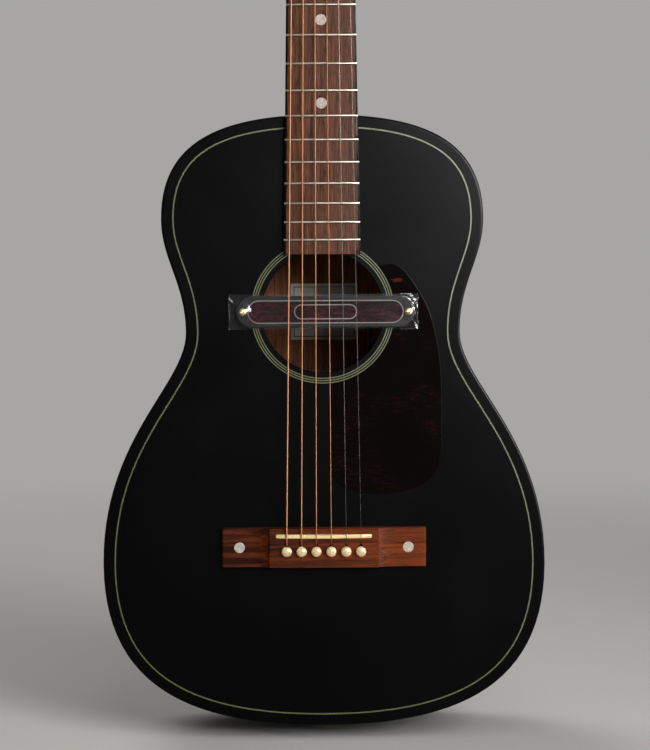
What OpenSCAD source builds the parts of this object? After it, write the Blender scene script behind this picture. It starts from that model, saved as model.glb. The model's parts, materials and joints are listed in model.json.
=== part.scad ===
// Acoustic guitar of parlour size with a bar pickup across the sound hole
// Built flat on its back: x to the treble side, y from tail to head, z out of the top
// The last step stands it up, so the neck points up and the top faces the front

/* [Scale and strings] */
// Speaking length of the strings before compensation
scale_length = 609.6; // [590:0.1:630]
// Frets on the fingerboard
fret_count = 18; // [17:1:19]
// Fret that lies over the edge of the body
joint_fret = 12; // [12:1:12]
// Distance of that fret past the edge of the body, below zero where it lies on the body
joint_offset = -1.5; // [-3:0.1:3]
// Extra length that the saddle adds to the strings
saddle_setback = 1; // [0:0.1:3]
// Distance between strings at the saddle
saddle_pitch = 10.9; // [10:0.1:11.4]
// Distance between strings at the nut
nut_pitch = 7.1; // [6.6:0.1:7.4]
// Height of the strings over the joint fret
action = 2.2; // [1.5:0.1:3.5]
// Thickest string, on the bass side
gauge_6 = 1.35; // [1.2:0.01:1.45]
// Fifth string
gauge_5 = 1.07; // [0.9:0.01:1.2]
// Fourth string
gauge_4 = 0.81; // [0.7:0.01:1]
// Third string
gauge_3 = 0.61; // [0.5:0.01:0.7]
// Second string, plain
gauge_2 = 0.41; // [0.35:0.01:0.5]
// First string, plain
gauge_1 = 0.3; // [0.25:0.01:0.35]
// Turns of each string round its post
wind_turns = 2.5; // [1.5:0.5:3]
// Free space between two turns of a winding
wind_space = 0.75; // [0.7:0.05:0.9]
// Radius of the ball at the end of each string
ball_r = 1.9; // [1.6:0.1:1.9]

/* [Body] */
// Length of the body
body_length = 450.6; // [430:0.1:470]
// Widest part of the body, below the waist
lower_bout_w = 326; // [310:1:350]
// Width of the waist
waist_w = 200.4; // [190:0.1:220]
// Width of the upper bout
upper_bout_w = 234.8; // [225:0.1:255]
// Height of the widest part over the tail
lower_bout_y = 120.8; // [110:0.1:130]
// Height of the waist over the tail
waist_y = 292.7; // [280:0.1:304]
// Height of the upper bout over the tail
upper_bout_y = 374.9; // [364:0.1:386]
// Depth of the body at the tail
depth_tail = 96; // [88:1:110]
// Depth of the body at the neck
depth_neck = 86; // [82:1:100]
// Lengthways arch of the back
back_arch = 3; // [0:0.5:6]
// Thickness of the soundboard
top_t = 2.8; // [2.4:0.1:3.4]
// Thickness of the back
back_t = 2.8; // [2.2:0.1:3.4]
// Thickness of the sides
side_t = 2.2; // [1.8:0.1:3]
// Width of the lining strips
lining_w = 6; // [4:0.5:8]
// Height of the lining strips
lining_h = 13; // [8:1:18]
// Radius of the sound hole
hole_r = 44.2; // [40:0.1:46]
// Wood left between the sound hole and the fingerboard, below zero where the board reaches over the hole
hole_gap = -2.1; // [-4:0.1:4]
// Outer radius of the widest rosette ring
rosette_r = 52.4; // [51.5:0.1:54]
// Distance between two rosette rings
rosette_step = 1.7; // [1.5:0.05:2.2]
// Width of one rosette ring
rosette_w = 0.7; // [0.5:0.1:1]
// Distance of the purfling line from the edge
purfling_inset = 8.9; // [5:0.1:12]
// Width of the purfling line
purfling_w = 1; // [0.6:0.1:2]
// Depth of the inlaid lines
inlay_depth = 1; // [0.6:0.1:1.4]
// Free space round an inlay
inlay_gap = 0.05; // [0.03:0.01:0.1]

/* [Bracing and blocks] */
// Width of the neck block
neck_block_w = 72; // [60:1:84]
// Length of the neck block along the body
neck_block_l = 50; // [42:1:54]
// Width of the tail block
tail_block_w = 84; // [64:1:100]
// Length of the tail block along the body
tail_block_l = 20; // [16:1:26]
// Width of the strip let in between the two sides at the tail
end_strip_w = 24; // [18:1:32]
// Width of a soundboard brace
brace_w = 7.5; // [6:0.5:9]
// Height of a soundboard brace
brace_h = 13; // [11:0.5:16]
// Half angle between the two crossed braces
cross_angle = 48; // [46:0.5:50]
// Distance of the crossing below the sound hole centre
cross_drop = 78; // [72:1:84]
// Width of a back brace
back_brace_w = 11; // [8:0.5:14]
// Height of a back brace
back_brace_h = 13; // [9:0.5:15]
// Thickness of the plate under the bridge
bridge_plate_t = 3; // [2:0.1:4]

/* [Bridge] */
// Length of the bridge across the body
bridge_l = 150; // [146:0.5:156]
// Width of the bridge along the body
bridge_w = 28.7; // [28:0.1:31]
// Height of the middle block
bridge_h = 8.5; // [8:0.1:9]
// Height of the wings
wing_h = 4.5; // [4.2:0.1:5.2]
// Half length of the middle block
block_half = 39.8; // [38.5:0.1:42]
// Length of the hollow ramp between block and wing
ramp_l = 15; // [12:0.5:16]
// Distance from the saddle back to the middle of the bridge
bridge_back = 8.8; // [8.4:0.1:9.4]
// Distance from the saddle back to the pins
pin_back = 11.1; // [10.6:0.1:12.4]
// Length of the saddle
saddle_l = 71; // [66:0.5:74]
// Thickness of the saddle
saddle_t = 2.8; // [2.4:0.1:3.2]
// Depth of the saddle in the bridge
saddle_sink = 4.5; // [3:0.1:5]
// Radius of a pin shaft
pin_r = 2.4; // [2:0.1:2.5]
// Radius of a pin head
pin_head_r = 3.75; // [3.4:0.05:3.9]
// Length of a pin below its head
pin_l = 22; // [18:0.5:26]
// Distance of the bridge bolts from the middle
bolt_x = 62; // [60:0.5:64]
// Radius of the pearl dots
dot_r = 3.9; // [3.4:0.1:4]

/* [Neck] */
// Width of the fingerboard at the nut
nut_w = 42.9; // [41.5:0.1:46]
// Width of the fingerboard at the joint fret
joint_w = 52.6; // [51:0.1:56]
// Thickness of the fingerboard
board_t = 6; // [5.5:0.1:6.5]
// Radius of the fingerboard across its width
board_radius = 305; // [254:1:406]
// Length of the fingerboard past the last fret
board_tail = 10.4; // [8:0.1:13]
// Height of a fret over the board
fret_h = 1; // [0.8:0.05:1.2]
// Width of a fret crown
fret_w = 2; // [1.8:0.1:2.7]
// Depth of the neck under the board at the nut
shaft_d_nut = 15; // [14:0.5:17]
// Depth of the neck under the board near the heel
shaft_d_heel = 18.5; // [17:0.5:21]
// Length of the heel cap
heel_cap_l = 23; // [18:1:28]
// Length of the hollow curve of the heel
heel_curve_l = 36; // [28:1:44]
// Width of the tenon in the neck block
tenon_w = 26; // [20:1:30]
// Length of the tenon
tenon_l = 22; // [16:1:26]
// Height of the tenon
tenon_h = 58; // [45:1:62]
// Thickness of the nut along the strings
nut_t = 5; // [4:0.1:6]
// Width of the truss rod channel
rod_channel_w = 6.4; // [6:0.1:7]
// Depth of the truss rod channel
rod_channel_d = 10.4; // [10:0.1:11]

/* [Headstock] */
// Backward tilt of the headstock in degrees
head_angle = 11; // [8:0.5:14]
// Length of the headstock
head_l = 166; // [162:1:176]
// Thickness of the headstock
head_t = 14; // [13:0.5:16]
// Length of the rounded passage from the neck into the headstock
passage_l = 22; // [18:1:26]
// Length of the rounded corners at the tip of the headstock
head_corner = 22; // [18:1:26]
// Half width of the headstock at the first post
head_half_low = 33.4; // [33:0.1:35]
// Half width of the headstock at the last post
head_half_high = 36; // [35:0.1:37]
// Thickness of the truss rod cover
cover_t = 1.6; // [1.2:0.1:2]

/* [Tuners] */
// Distance of the posts from the middle line
post_x = 25.5; // [25:0.1:26]
// Height of the first post on the headstock
post_first = 42; // [40:0.5:44]
// Distance between two posts
post_pitch = 41; // [39:0.5:42]
// Radius of a post in its bushing
post_r = 3.1; // [2.9:0.05:3.2]
// Radius of the waist that the string winds on
post_waist_r = 2.6; // [2.3:0.05:2.8]
// Height of a post over the face
post_h = 15; // [14.5:0.5:17]
// Running space between a shaft and its hole
run_gap = 0.1; // [0.05:0.01:0.1]
// Thickness of the tuner plates
tuner_plate_t = 1.2; // [1:0.1:1.5]
// Width of the tuner plates
tuner_plate_w = 15; // [13:0.5:15]
// Teeth of a post gear
gear_teeth = 14; // [14:1:14]
// Pitch radius of a post gear
gear_r = 4.6; // [4.5:0.05:4.7]
// Thickness of a post gear
gear_t = 2.6; // [2.2:0.1:2.8]
// Pitch radius of a worm
worm_r = 2.2; // [2.15:0.05:2.3]
// Length of a worm
worm_l = 6.6; // [6:0.1:7]
// Radius of a worm shaft
shaft_r = 1.6; // [1.4:0.05:1.65]
// Thickness of a bearing tab
tab_t = 1.4; // [1.2:0.1:1.6]
// Distance of the buttons from the post axis
button_x = 15.5; // [15:0.5:18]
// Length of a button
button_l = 14; // [11:0.5:17]
// Half width of a button
button_half = 9; // [8:0.5:10]
// Thickness of a button
button_t = 7; // [6:0.5:8]

/* [Pickup, guard and jack] */
// Length of the pickup
pickup_l = 130; // [124:1:134]
// Width of the pickup
pickup_w = 23; // [20:0.2:24]
// Distance of the pickup from the middle line, to the treble side
pickup_x = 2.2; // [-2:0.1:3]
// Distance of the pickup from the middle of the sound hole, to the neck
pickup_rise = 0.3; // [-2:0.1:3]
// Length of the field inside the border line of the pickup
field_l = 114; // [108:1:116]
// Width of that field
field_w = 17; // [15:0.2:18]
// Length of the plain panel in that field
panel_l = 46; // [40:1:60]
// Width of that panel
panel_w = 11; // [9:0.2:13]
// Width of the lines on the pickup
pickup_line = 0.8; // [0.5:0.1:1]
// Depth of the lines on the pickup
pickup_line_d = 0.5; // [0.3:0.1:0.8]
// Thickness of the pickup cover
pickup_cover_t = 2.6; // [2.2:0.1:3]
// Depth of the pickup case under the soundboard
pickup_depth = 12; // [10:0.5:14]
// Length of the pickup case
case_l = 74; // [68:1:76]
// Width of the pickup case
case_w = 19; // [17:0.5:19.5]
// Distance between the two pickup screws
pickup_screw_pitch = 121; // [118:0.5:122]
// Thickness of the pickguard
guard_t = 1; // [0.8:0.1:1.2]
// Space between the pickguard and the bridge
guard_low_gap = 24.7; // [18:0.1:30]
// Width of the paper label
label_w = 52; // [40:1:60]
// Height of the paper label
label_h = 44; // [36:1:50]
// Distance of the label below the middle of the sound hole
label_drop = 3; // [0:0.5:6]
// Outer radius of the jack barrel
barrel_r = 6; // [5.6:0.1:6.4]
// Radius of the socket for the plug
socket_r = 3.25; // [3.2:0.01:3.3]
// Length of the socket
socket_l = 32; // [30:0.5:34]
// Length of the strap button outside the body
strap_l = 11; // [10:0.5:13]
// Largest radius of the strap button
strap_r = 7.4; // [7.2:0.1:8]
// Radius of the pickup lead
lead_r = 1.5; // [1:0.1:2]

/* [Hidden] */
$fn = 48;
// Points on each of the four curves of the half outline
seg_n = 18;
// Strips along the arch of the back
strip_n = 22;
far = 400;

// Places that follow from the sizes
nut_y = body_length + joint_offset + scale_length * (1 - pow(2, -joint_fret / 12));
saddle_y = nut_y - scale_length - saddle_setback;
bridge_y = saddle_y - bridge_back;
pin_y = saddle_y - pin_back;
board_end_y = fret_y(fret_count) - board_tail;
hole_y = board_end_y - hole_r - hole_gap;
pickup_y = hole_y + pickup_rise;
head_y = nut_y + nut_t;
gauges = [gauge_6, gauge_5, gauge_4, gauge_3, gauge_2, gauge_1];
// Each string comes up through a slot just in front of its pin
rise_y = pin_y + pin_head_r + 0.12 + gauge_6 / 2;
slot_w = gauge_6 + 0.5;
plate_z = -top_t - bridge_plate_t;
nut_lift = fret_h + 0.3;
saddle_lift = nut_lift + (fret_h + action - nut_lift) * scale_length / (nut_y - fret_y(joint_fret));
jack_z = depth_tail / 2;
cross_y = hole_y - cross_drop;
post_ys = [post_first, post_first + post_pitch, post_first + 2 * post_pitch];
// Strings from bass to treble reach these posts
string_post_row = [0, 1, 2, 2, 1, 0];
gear_z = -head_t - 4.6;
worm_pitch = 2 * PI * gear_r / gear_teeth;
worm_y = -gear_r - worm_r;
bushing_r = 4.4;
bushing_l = 8;
bushing_flange_r = 5.6;
bushing_flange_h = 1.2;
plate_low = 20;
plate_high = 17;
glue_gap = 0.02;
guard_gap = 0.5;
pickup_z = guard_t + 0.4;

function fret_y(n) = nut_y - scale_length * (1 - pow(2, -n / 12));
function board_w(y) = nut_w + (joint_w - nut_w) * (nut_y - y) / (nut_y - fret_y(joint_fret));
function crown(x) = sqrt(board_radius * board_radius - x * x) - board_radius;
function saddle_x(k) = (k - 2.5) * saddle_pitch;
function nut_x(k) = (k - 2.5) * nut_pitch;
function side_of(k) = k < 3 ? -1 : 1;
function unit(v) = v / norm(v);
function mix(a, b, t) = a + (b - a) * t;

// Outline of the body from four curves on its treble half
function bez(c, t) = (1 - t) * (1 - t) * (1 - t) * c[0] + 3 * (1 - t) * (1 - t) * t * c[1]
  + 3 * (1 - t) * t * t * c[2] + t * t * t * c[3];
function bez_dir(c, t) = unit((1 - t) * (1 - t) * (c[1] - c[0]) + 2 * (1 - t) * t * (c[2] - c[1])
  + t * t * (c[3] - c[2]));
low_half = lower_bout_w / 2;
waist_half = waist_w / 2;
up_half = upper_bout_w / 2;
rise_1 = waist_y - lower_bout_y;
rise_2 = upper_bout_y - waist_y;
rise_3 = body_length - upper_bout_y;
curves = [
  [[0, 0], [0.64 * low_half, 0], [low_half, 0.27 * lower_bout_y], [low_half, lower_bout_y]],
  [[low_half, lower_bout_y], [low_half, lower_bout_y + 0.552 * rise_1],
   [waist_half, waist_y - 0.22 * rise_1], [waist_half, waist_y]],
  [[waist_half, waist_y], [waist_half, waist_y + 0.44 * rise_2],
   [up_half, upper_bout_y - 0.352 * rise_2], [up_half, upper_bout_y]],
  [[up_half, upper_bout_y], [up_half, upper_bout_y + 0.787 * rise_3],
   [0.597 * up_half, body_length], [0, body_length]]];
function half_outline(inset) = [
  for (c = curves) for (i = [0 : seg_n - 1])
    let (d = bez_dir(c, i / seg_n)) bez(c, i / seg_n) + inset * [-d[1], d[0]],
  [0, body_length - inset]];
function outline(inset) = let (h = half_outline(inset), n = len(h))
  concat(h, [for (i = [n - 2 : -1 : 1]) [-h[i][0], h[i][1]]]);

// Height of the outside of the back along the body
function back_z(y) = let (s = y / body_length)
  -mix(depth_tail, depth_neck, s) - back_arch * 4 * s * (1 - s);

// Smooth curve through points
function through(p, n) = [for (i = [0 : len(p) - 2]) for (j = [0 : n - 1])
  let (a = p[max(i - 1, 0)], b = p[i], c = p[i + 1], d = p[min(i + 2, len(p) - 1)], t = j / n)
    0.5 * (2 * b + (c - a) * t + (2 * a - 5 * b + 4 * c - d) * t * t
      + (3 * b - a - 3 * c + d) * t * t * t)];

// Points of a rounded corner at b between a and c
function slerp(a, b, w, t) = (sin((1 - t) * w) * a + sin(t * w) * b) / sin(w);
function fillet(a, b, c, r, n) = let (u = unit(a - b), v = unit(c - b), h = acos(u * v) / 2,
    m = b + unit(u + v) * r / sin(h), p = (b + u * r / tan(h) - m) / r, q = (b + v * r / tan(h) - m) / r)
  [for (i = [0 : n]) m + r * slerp(p, q, acos(p * q), i / n)];

// Tube along a path, with rings that keep their turn
function path_dir(p, i) = unit(p[min(i + 1, len(p) - 1)] - p[max(i - 1, 0)]);
function turned(n, d) = unit(n - (n * d) * d);
function ring(c, d, n, r, sides) = let (b = cross(d, n))
  [for (s = [0 : sides - 1]) c + r * (cos(360 * s / sides) * n + sin(360 * s / sides) * b)];
function rings(p, n0, r, sides) = [
  for (i = 0, n = turned(n0, path_dir(p, 0)); i < len(p);
       i = i + 1, n = i < len(p) ? turned(n, path_dir(p, i)) : n)
    ring(p[i], path_dir(p, i), n, r, sides)];

// Solid between loops of equal length
module loft(loops) {
  n = len(loops[0]);
  m = len(loops);
  points = [for (l = loops) each l];
  walls = [for (i = [0 : m - 2]) for (j = [0 : n - 1]) let (k = (j + 1) % n)
    each [[i * n + j, (i + 1) * n + k, i * n + k], [i * n + j, (i + 1) * n + j, (i + 1) * n + k]]];
  first = [for (j = [1 : n - 2]) [0, j, j + 1]];
  last = [for (j = [1 : n - 2]) [(m - 1) * n, (m - 1) * n + j + 1, (m - 1) * n + j]];
  polyhedron(points, concat(walls, first, last));
}

module tube(path, r, sides) {
  loft(rings(path, [1, 0.01, 0.02], r, sides));
}

// Frame of the finished object: jack mouth at the origin, neck up, top to the front
module upright() {
  rotate([90, 0, 0])
    translate([0, strap_l, jack_z])
      children();
}

// Frame of the headstock: y along the face, z out of the face
module on_head() {
  translate([0, head_y, 0])
    rotate([-head_angle, 0, 0])
      children();
}

// Frame of one tuner: origin on the post axis at the face, x to the outside
module at_tuner(k) {
  on_head()
    translate([side_of(k) * post_x, post_ys[string_post_row[k]], 0])
      mirror([k < 3 ? 1 : 0, 0, 0])
        children();
}

// Body
module slab(inset, z0, z1) {
  translate([0, 0, z0])
    linear_extrude(z1 - z0)
      polygon(outline(inset));
}

module rim(outer, inner, z0, z1) {
  translate([0, 0, z0])
    linear_extrude(z1 - z0)
      difference() {
        polygon(outline(outer));
        polygon(outline(inner));
      }
}

module above_back(lift) {
  translate([-far, 0, 0])
    rotate([90, 0, 90])
      linear_extrude(2 * far)
        polygon(concat(
          [for (i = [-1 : strip_n + 1]) let (y = body_length * i / strip_n) [y, back_z(y) + lift]],
          [[body_length * (strip_n + 1) / strip_n, 60], [-body_length / strip_n, 60]]));
}

module half_space(s) {
  translate([s > 0 ? 0 : -far, -far, -far])
    cube([far, 3 * far, 2 * far]);
}

module pin_cuts(z0, z1) {
  for (k = [0 : 5]) {
    translate([saddle_x(k), pin_y, z0])
      cylinder(r = pin_r + 0.1, h = z1 - z0);
    translate([saddle_x(k) - slot_w / 2, pin_y, z0])
      cube([slot_w, rise_y + slot_w / 2 - pin_y, z1 - z0]);
  }
}

module bolt_cuts(r, z0, z1) {
  for (s = [-1, 1])
    translate([s * bolt_x, bridge_y, z0])
      cylinder(r = r, h = z1 - z0);
}

module soundboard() {
  color("#1c1b1a")
    upright()
      difference() {
        slab(0, -top_t, 0);
        translate([0, hole_y, -top_t - 1])
          cylinder(r = hole_r, h = top_t + 2, $fn = 128);
        rim(purfling_inset - purfling_w / 2 - inlay_gap, purfling_inset + purfling_w / 2 + inlay_gap,
          -inlay_depth - inlay_gap, 1);
        for (i = [0 : 2])
          translate([0, hole_y, -inlay_depth - inlay_gap])
            rosette_ring(i, inlay_gap, inlay_depth + 1);
        pin_cuts(-top_t - 1, 1);
        bolt_cuts(2.1, -top_t - 1, 1);
        for (s = [-1, 1])
          translate([pickup_x + s * pickup_screw_pitch / 2, pickup_y, -top_t - 1])
            cylinder(r = 1.1, h = top_t + 2);
      }
}

module rosette_ring(i, gap, h) {
  difference() {
    cylinder(r = rosette_r - i * rosette_step + gap, h = h, $fn = 128);
    translate([0, 0, -1])
      cylinder(r = rosette_r - i * rosette_step - rosette_w - gap, h = h + 2, $fn = 128);
  }
}

module rosette() {
  color("#b9b086")
    upright()
      for (i = [0 : 2])
        translate([0, hole_y, -inlay_depth])
          rosette_ring(i, 0, inlay_depth);
}

module purfling() {
  color("#b9b086")
    upright()
      rim(purfling_inset - purfling_w / 2, purfling_inset + purfling_w / 2, -inlay_depth, 0);
}

module back() {
  color("#1c1b1a")
    upright()
      difference() {
        intersection() {
          slab(0, -far, 0);
          above_back(0);
        }
        above_back(back_t);
      }
}

module side(s) {
  color("#1c1b1a")
    upright()
      difference() {
        intersection() {
          rim(0, side_t, -far, -top_t);
          above_back(back_t);
          half_space(s);
        }
        translate([-tenon_w / 2 - 0.1, body_length - tenon_l, -far])
          cube([tenon_w + 0.2, far, far]);
        end_strip_zone(0);
      }
}

module side_bass() {
  side(-1);
}

module side_treble() {
  side(1);
}

module jack_hole(r) {
  translate([0, -20, -jack_z])
    rotate([-90, 0, 0])
      cylinder(r = r, h = 80);
}

module end_strip_zone(gap) {
  translate([-end_strip_w / 2 + gap, -far, -far])
    cube([end_strip_w - 2 * gap, far + tail_block_l, far]);
}

module neck_block_zone(extra) {
  translate([-neck_block_w / 2 - extra, body_length - neck_block_l - extra, -far])
    cube([neck_block_w + 2 * extra, far, far - top_t]);
}

module tail_block_zone(extra) {
  translate([-tail_block_w / 2 - extra, -far, -far])
    cube([tail_block_w + 2 * extra, far + tail_block_l + extra, far - top_t]);
}

module end_blocks() {
  color("#8a5a38")
    upright()
      difference() {
        intersection() {
          slab(side_t, -far, -top_t);
          above_back(back_t);
          union() {
            neck_block_zone(0);
            tail_block_zone(0);
          }
        }
        translate([-tenon_w / 2 - 0.1, body_length - tenon_l - 0.2, -top_t - tenon_h - 0.2])
          cube([tenon_w + 0.2, far, far]);
        jack_hole(barrel_r + 0.1);
      }
  // The strip at the tail closes the joint of the sides and carries the jack
  color("#1c1b1a")
    upright()
      difference() {
        intersection() {
          rim(0, side_t - glue_gap, -far, -top_t);
          above_back(back_t);
          end_strip_zone(glue_gap);
        }
        jack_hole(barrel_r + 0.1);
      }
}

module linings() {
  color("#b08a5c")
    upright()
      difference() {
        rim(side_t, side_t + lining_w, -far, -top_t);
        neck_block_zone(0.2);
        tail_block_zone(0.2);
        difference() {
          translate([0, 0, -far])
            slab(-20, 0, far - top_t - lining_h);
          difference() {
            above_back(back_t);
            above_back(back_t + lining_h);
          }
        }
      }
}

module brace(x, y, angle, l, w, h) {
  translate([x, y, -top_t - h])
    rotate([0, 0, angle])
      translate([-l / 2, -w / 2, 0])
        cube([l, w, h]);
}

module cross_brace(s) {
  intersection() {
    brace(0, cross_y, 90 + s * cross_angle, far, brace_w, brace_h);
    slab(side_t + lining_w + 0.5, -far, 0);
  }
}

module lap(z0, h) {
  translate([0, cross_y, z0])
    rotate([0, 0, 45])
      translate([-brace_w, -brace_w, 0])
        cube([2 * brace_w, 2 * brace_w, h]);
}

module top_braces() {
  color("#d8bd8f")
    upright() {
      // The two arms are halved into one another where they cross
      difference() {
        cross_brace(1);
        intersection() {
          brace(0, cross_y, 90 - cross_angle, 8 * brace_w, brace_w + 0.1, brace_h);
          lap(-top_t - brace_h / 2, brace_h);
        }
      }
      difference() {
        cross_brace(-1);
        intersection() {
          brace(0, cross_y, 90 + cross_angle, 8 * brace_w, brace_w + 0.1, brace_h);
          lap(-top_t - brace_h, brace_h / 2);
        }
      }
      intersection() {
        brace(0, board_end_y + 2.4 * brace_w, 0, far, 1.6 * brace_w, brace_h + 1);
        slab(side_t + lining_w + 0.5, -far, 0);
      }
      for (s = [-1, 1])
        brace(s * (hole_r + 1.2 * brace_w), hole_y + 1.2 * brace_w, 90, 1.2 * hole_r, 0.87 * brace_w,
          0.54 * brace_h);
      // Two slanted bars between the bridge and the tail block
      for (share = [0.47, 0.22])
        difference() {
          intersection() {
            brace(0.06 * low_half, mix(tail_block_l, bridge_y, share), 18, (0.5 + share) * low_half,
              0.87 * brace_w, 0.7 * brace_h);
            slab(side_t + lining_w + 0.5, -far, 0);
          }
          tail_block_zone(0.5);
        }
    }
}

module back_braces() {
  color("#d8bd8f")
    upright()
      for (y = [0.16, 0.4, 0.56, 0.82] * body_length)
        difference() {
          intersection() {
            translate([-far, y - back_brace_w / 2, -far])
              cube([2 * far, back_brace_w, far]);
            slab(side_t + lining_w + 0.5, -far, 0);
            above_back(back_t);
          }
          above_back(back_t + back_brace_h);
        }
}

module bridge_plate() {
  color("#9a6a42")
    upright()
      difference() {
        translate([-bolt_x - 8, bridge_y - bridge_w / 2 - 2, plate_z])
          cube([2 * bolt_x + 16, bridge_w + 5, bridge_plate_t]);
        pin_cuts(plate_z - 1, 1);
        bolt_cuts(2.1, plate_z - 1, 1);
      }
}

// The guard follows the rosette on its inner side, and is drawn from the centre of the hole
guard_low = hole_y - bridge_y - bridge_w / 2 - guard_low_gap;
guard_points = [for (p = [[5.8, -0.387], [5.8, -0.857], [8, -0.91], [13, -0.951], [23, -0.983], [38, -1],
    [53, -0.996], [67, -0.971], [77, -0.93], [83.6, -0.868], [86.2, -0.766], [87, -0.486], [85.6, -0.273],
    [82, -0.11]])
  [p[0] * hole_r / 44.2, p[1] * guard_low]];
guard_top = [for (p = [[77, 2.4], [69.9, 15.9], [62.6, 26.4], [56.3, 32.6], [49.6, 34.9], [42, 33.4]])
  p * hole_r / 44.2];

module pickguard() {
  color("#3a2014")
    upright()
      translate([0, hole_y, 0])
        difference() {
          linear_extrude(guard_t)
            polygon(concat([[guard_points[0][0], 0]],
              [for (p = through(concat(guard_points, guard_top), 5)) p], [[0.94 * hole_r, 0.8 * hole_r]]));
          translate([0, 0, -1])
            cylinder(r = rosette_r + guard_gap, h = guard_t + 2, $fn = 128);
          translate([pickup_x + pickup_screw_pitch / 2, pickup_rise, -1])
            cylinder(r = 1.3, h = guard_t + 2);
        }
}

module label() {
  color("#cfccc2")
    upright()
      intersection() {
        translate([1 - label_w / 2, hole_y - label_drop - label_h / 2, -far])
          cube([label_w, label_h, far]);
        difference() {
          above_back(back_t + 0.01);
          above_back(back_t + 0.31);
        }
      }
}

// Bridge
function cove(n) = [for (i = [0 : n]) let (a = 90 * i / n)
  [block_half + ramp_l * (1 - cos(a)), bridge_h - (bridge_h - wing_h) * sin(a)]];

module bridge() {
  half = concat(cove(10), [[bridge_l / 2 - 1, wing_h], [bridge_l / 2, wing_h - 1], [bridge_l / 2, 0]]);
  color("#5c3a26")
    upright()
      difference() {
        translate([0, bridge_y + bridge_w / 2, 0])
          rotate([90, 0, 0])
            linear_extrude(bridge_w)
              polygon(concat([for (p = half) p],
                [for (i = [len(half) - 1 : -1 : 0]) [-half[i][0], half[i][1]]]));
        // The tail edge of the bridge is bevelled
        for (s = [-1])
          translate([-far, bridge_y + s * bridge_w / 2, wing_h - 2.2])
            rotate([35, 0, 0])
              translate([0, -10, 0])
                cube([2 * far, 10, 10]);
        translate([-saddle_l / 2 - 0.1, saddle_y - saddle_t / 2 - 0.1, bridge_h - saddle_sink])
          cube([saddle_l + 0.2, saddle_t + 0.2, far]);
        pin_cuts(-1, bridge_h + 1);
        bolt_cuts(2.1, -1, bridge_h);
        bolt_cuts(dot_r + inlay_gap, wing_h - 3.4, bridge_h);
      }
}

module saddle() {
  n = 16;
  color("#e9e0c4")
    upright()
      translate([0, saddle_y + saddle_t / 2, 0])
        rotate([90, 0, 0])
          linear_extrude(saddle_t)
            polygon(concat([[-saddle_l / 2, bridge_h - saddle_sink], [saddle_l / 2, bridge_h - saddle_sink]],
              [for (i = [n : -1 : 0]) let (x = mix(-saddle_l / 2, saddle_l / 2, i / n))
                [x, board_t + saddle_lift - 0.06 + crown(x) - (abs(x) > saddle_l / 2 - 1 ? 1 : 0)]]));
}

module bridge_pins() {
  color("#e9e0c4")
    upright()
      for (k = [0 : 5])
        translate([saddle_x(k), pin_y, bridge_h])
          rotate_extrude()
            polygon(concat([[0, -pin_l], [pin_r - 0.4, -pin_l], [pin_r, -pin_l + 1], [pin_r, 0],
              [pin_head_r - 0.6, 0], [pin_head_r - 0.4, 1], [pin_head_r, 1.6]],
              [for (i = [0 : 6]) let (a = 90 * i / 6) [pin_head_r * cos(a), 2 + 2.4 * sin(a)]]));
}

module bridge_bolts() {
  color("#b5a46a")
    upright()
      for (s = [-1, 1])
        translate([s * bolt_x, bridge_y, 0]) {
          translate([0, 0, plate_z - 5.4])
            cylinder(r = 1.9, h = wing_h - 2 - plate_z + 5.4 - 0.6);
          translate([0, 0, wing_h - 3.4])
            cylinder(r = dot_r - 0.2, h = 1.8);
          translate([0, 0, plate_z - 1])
            difference() {
              cylinder(r = 4.6, h = 1);
              translate([0, 0, -1])
                cylinder(r = 2, h = 3);
            }
          translate([0, 0, plate_z - 4.4])
            difference() {
              cylinder(r = 4.2, h = 3.4, $fn = 6);
              translate([0, 0, -1])
                cylinder(r = 2, h = 6);
            }
        }
}

marked_frets = [3, 5, 7, 9, 12];

module board_dot_places() {
  for (n = marked_frets)
    translate([0, (fret_y(n) + fret_y(n - 1)) / 2, 0])
      children();
}

module pearl_dots() {
  color("#e4e2da")
    upright() {
      board_dot_places()
        translate([0, 0, board_t - 1.6])
          cylinder(r = dot_r, h = 1.57);
      for (s = [-1, 1])
        translate([s * bolt_x, bridge_y, wing_h - 1.6])
          cylinder(r = dot_r, h = 1.6);
    }
}

// Neck
function shaft_d(y) = mix(shaft_d_nut, shaft_d_heel, (head_y - y) / (head_y - body_length));
heel_d = -back_z(body_length) - 1;
function heel_share(y) = let (t = (y - body_length - heel_cap_l) / heel_curve_l)
  t <= 0 ? 1 : t >= 1 ? 0 : 1 - sqrt(1 - (1 - t) * (1 - t));
function neck_d(y) = mix(shaft_d(y), heel_d, heel_share(y));
function neck_loop(y) = let (w = board_w(min(y, nut_y)) / 2, d = neck_d(y), h = heel_share(y),
    narrow = h * mix(0.5, 0.66, max(0, min(1, (y - body_length) / heel_cap_l))), e = mix(0.8, 0.62, h))
  [for (i = [0 : 20]) let (a = 180 * i / 20, c = cos(a), q = pow(abs(sin(a)), e))
    [w * (c < 0 ? -1 : 1) * pow(abs(c), 0.86) * (1 - narrow * q), y, -d * q]];
neck_stations = concat([body_length - 8, body_length + 8, body_length + heel_cap_l - 4],
  [for (i = [0 : 12]) body_length + heel_cap_l + heel_curve_l * (1 - cos(90 * i / 12))],
  [for (i = [1 : 6]) mix(body_length + heel_cap_l + heel_curve_l, head_y, i / 6)]);

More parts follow.
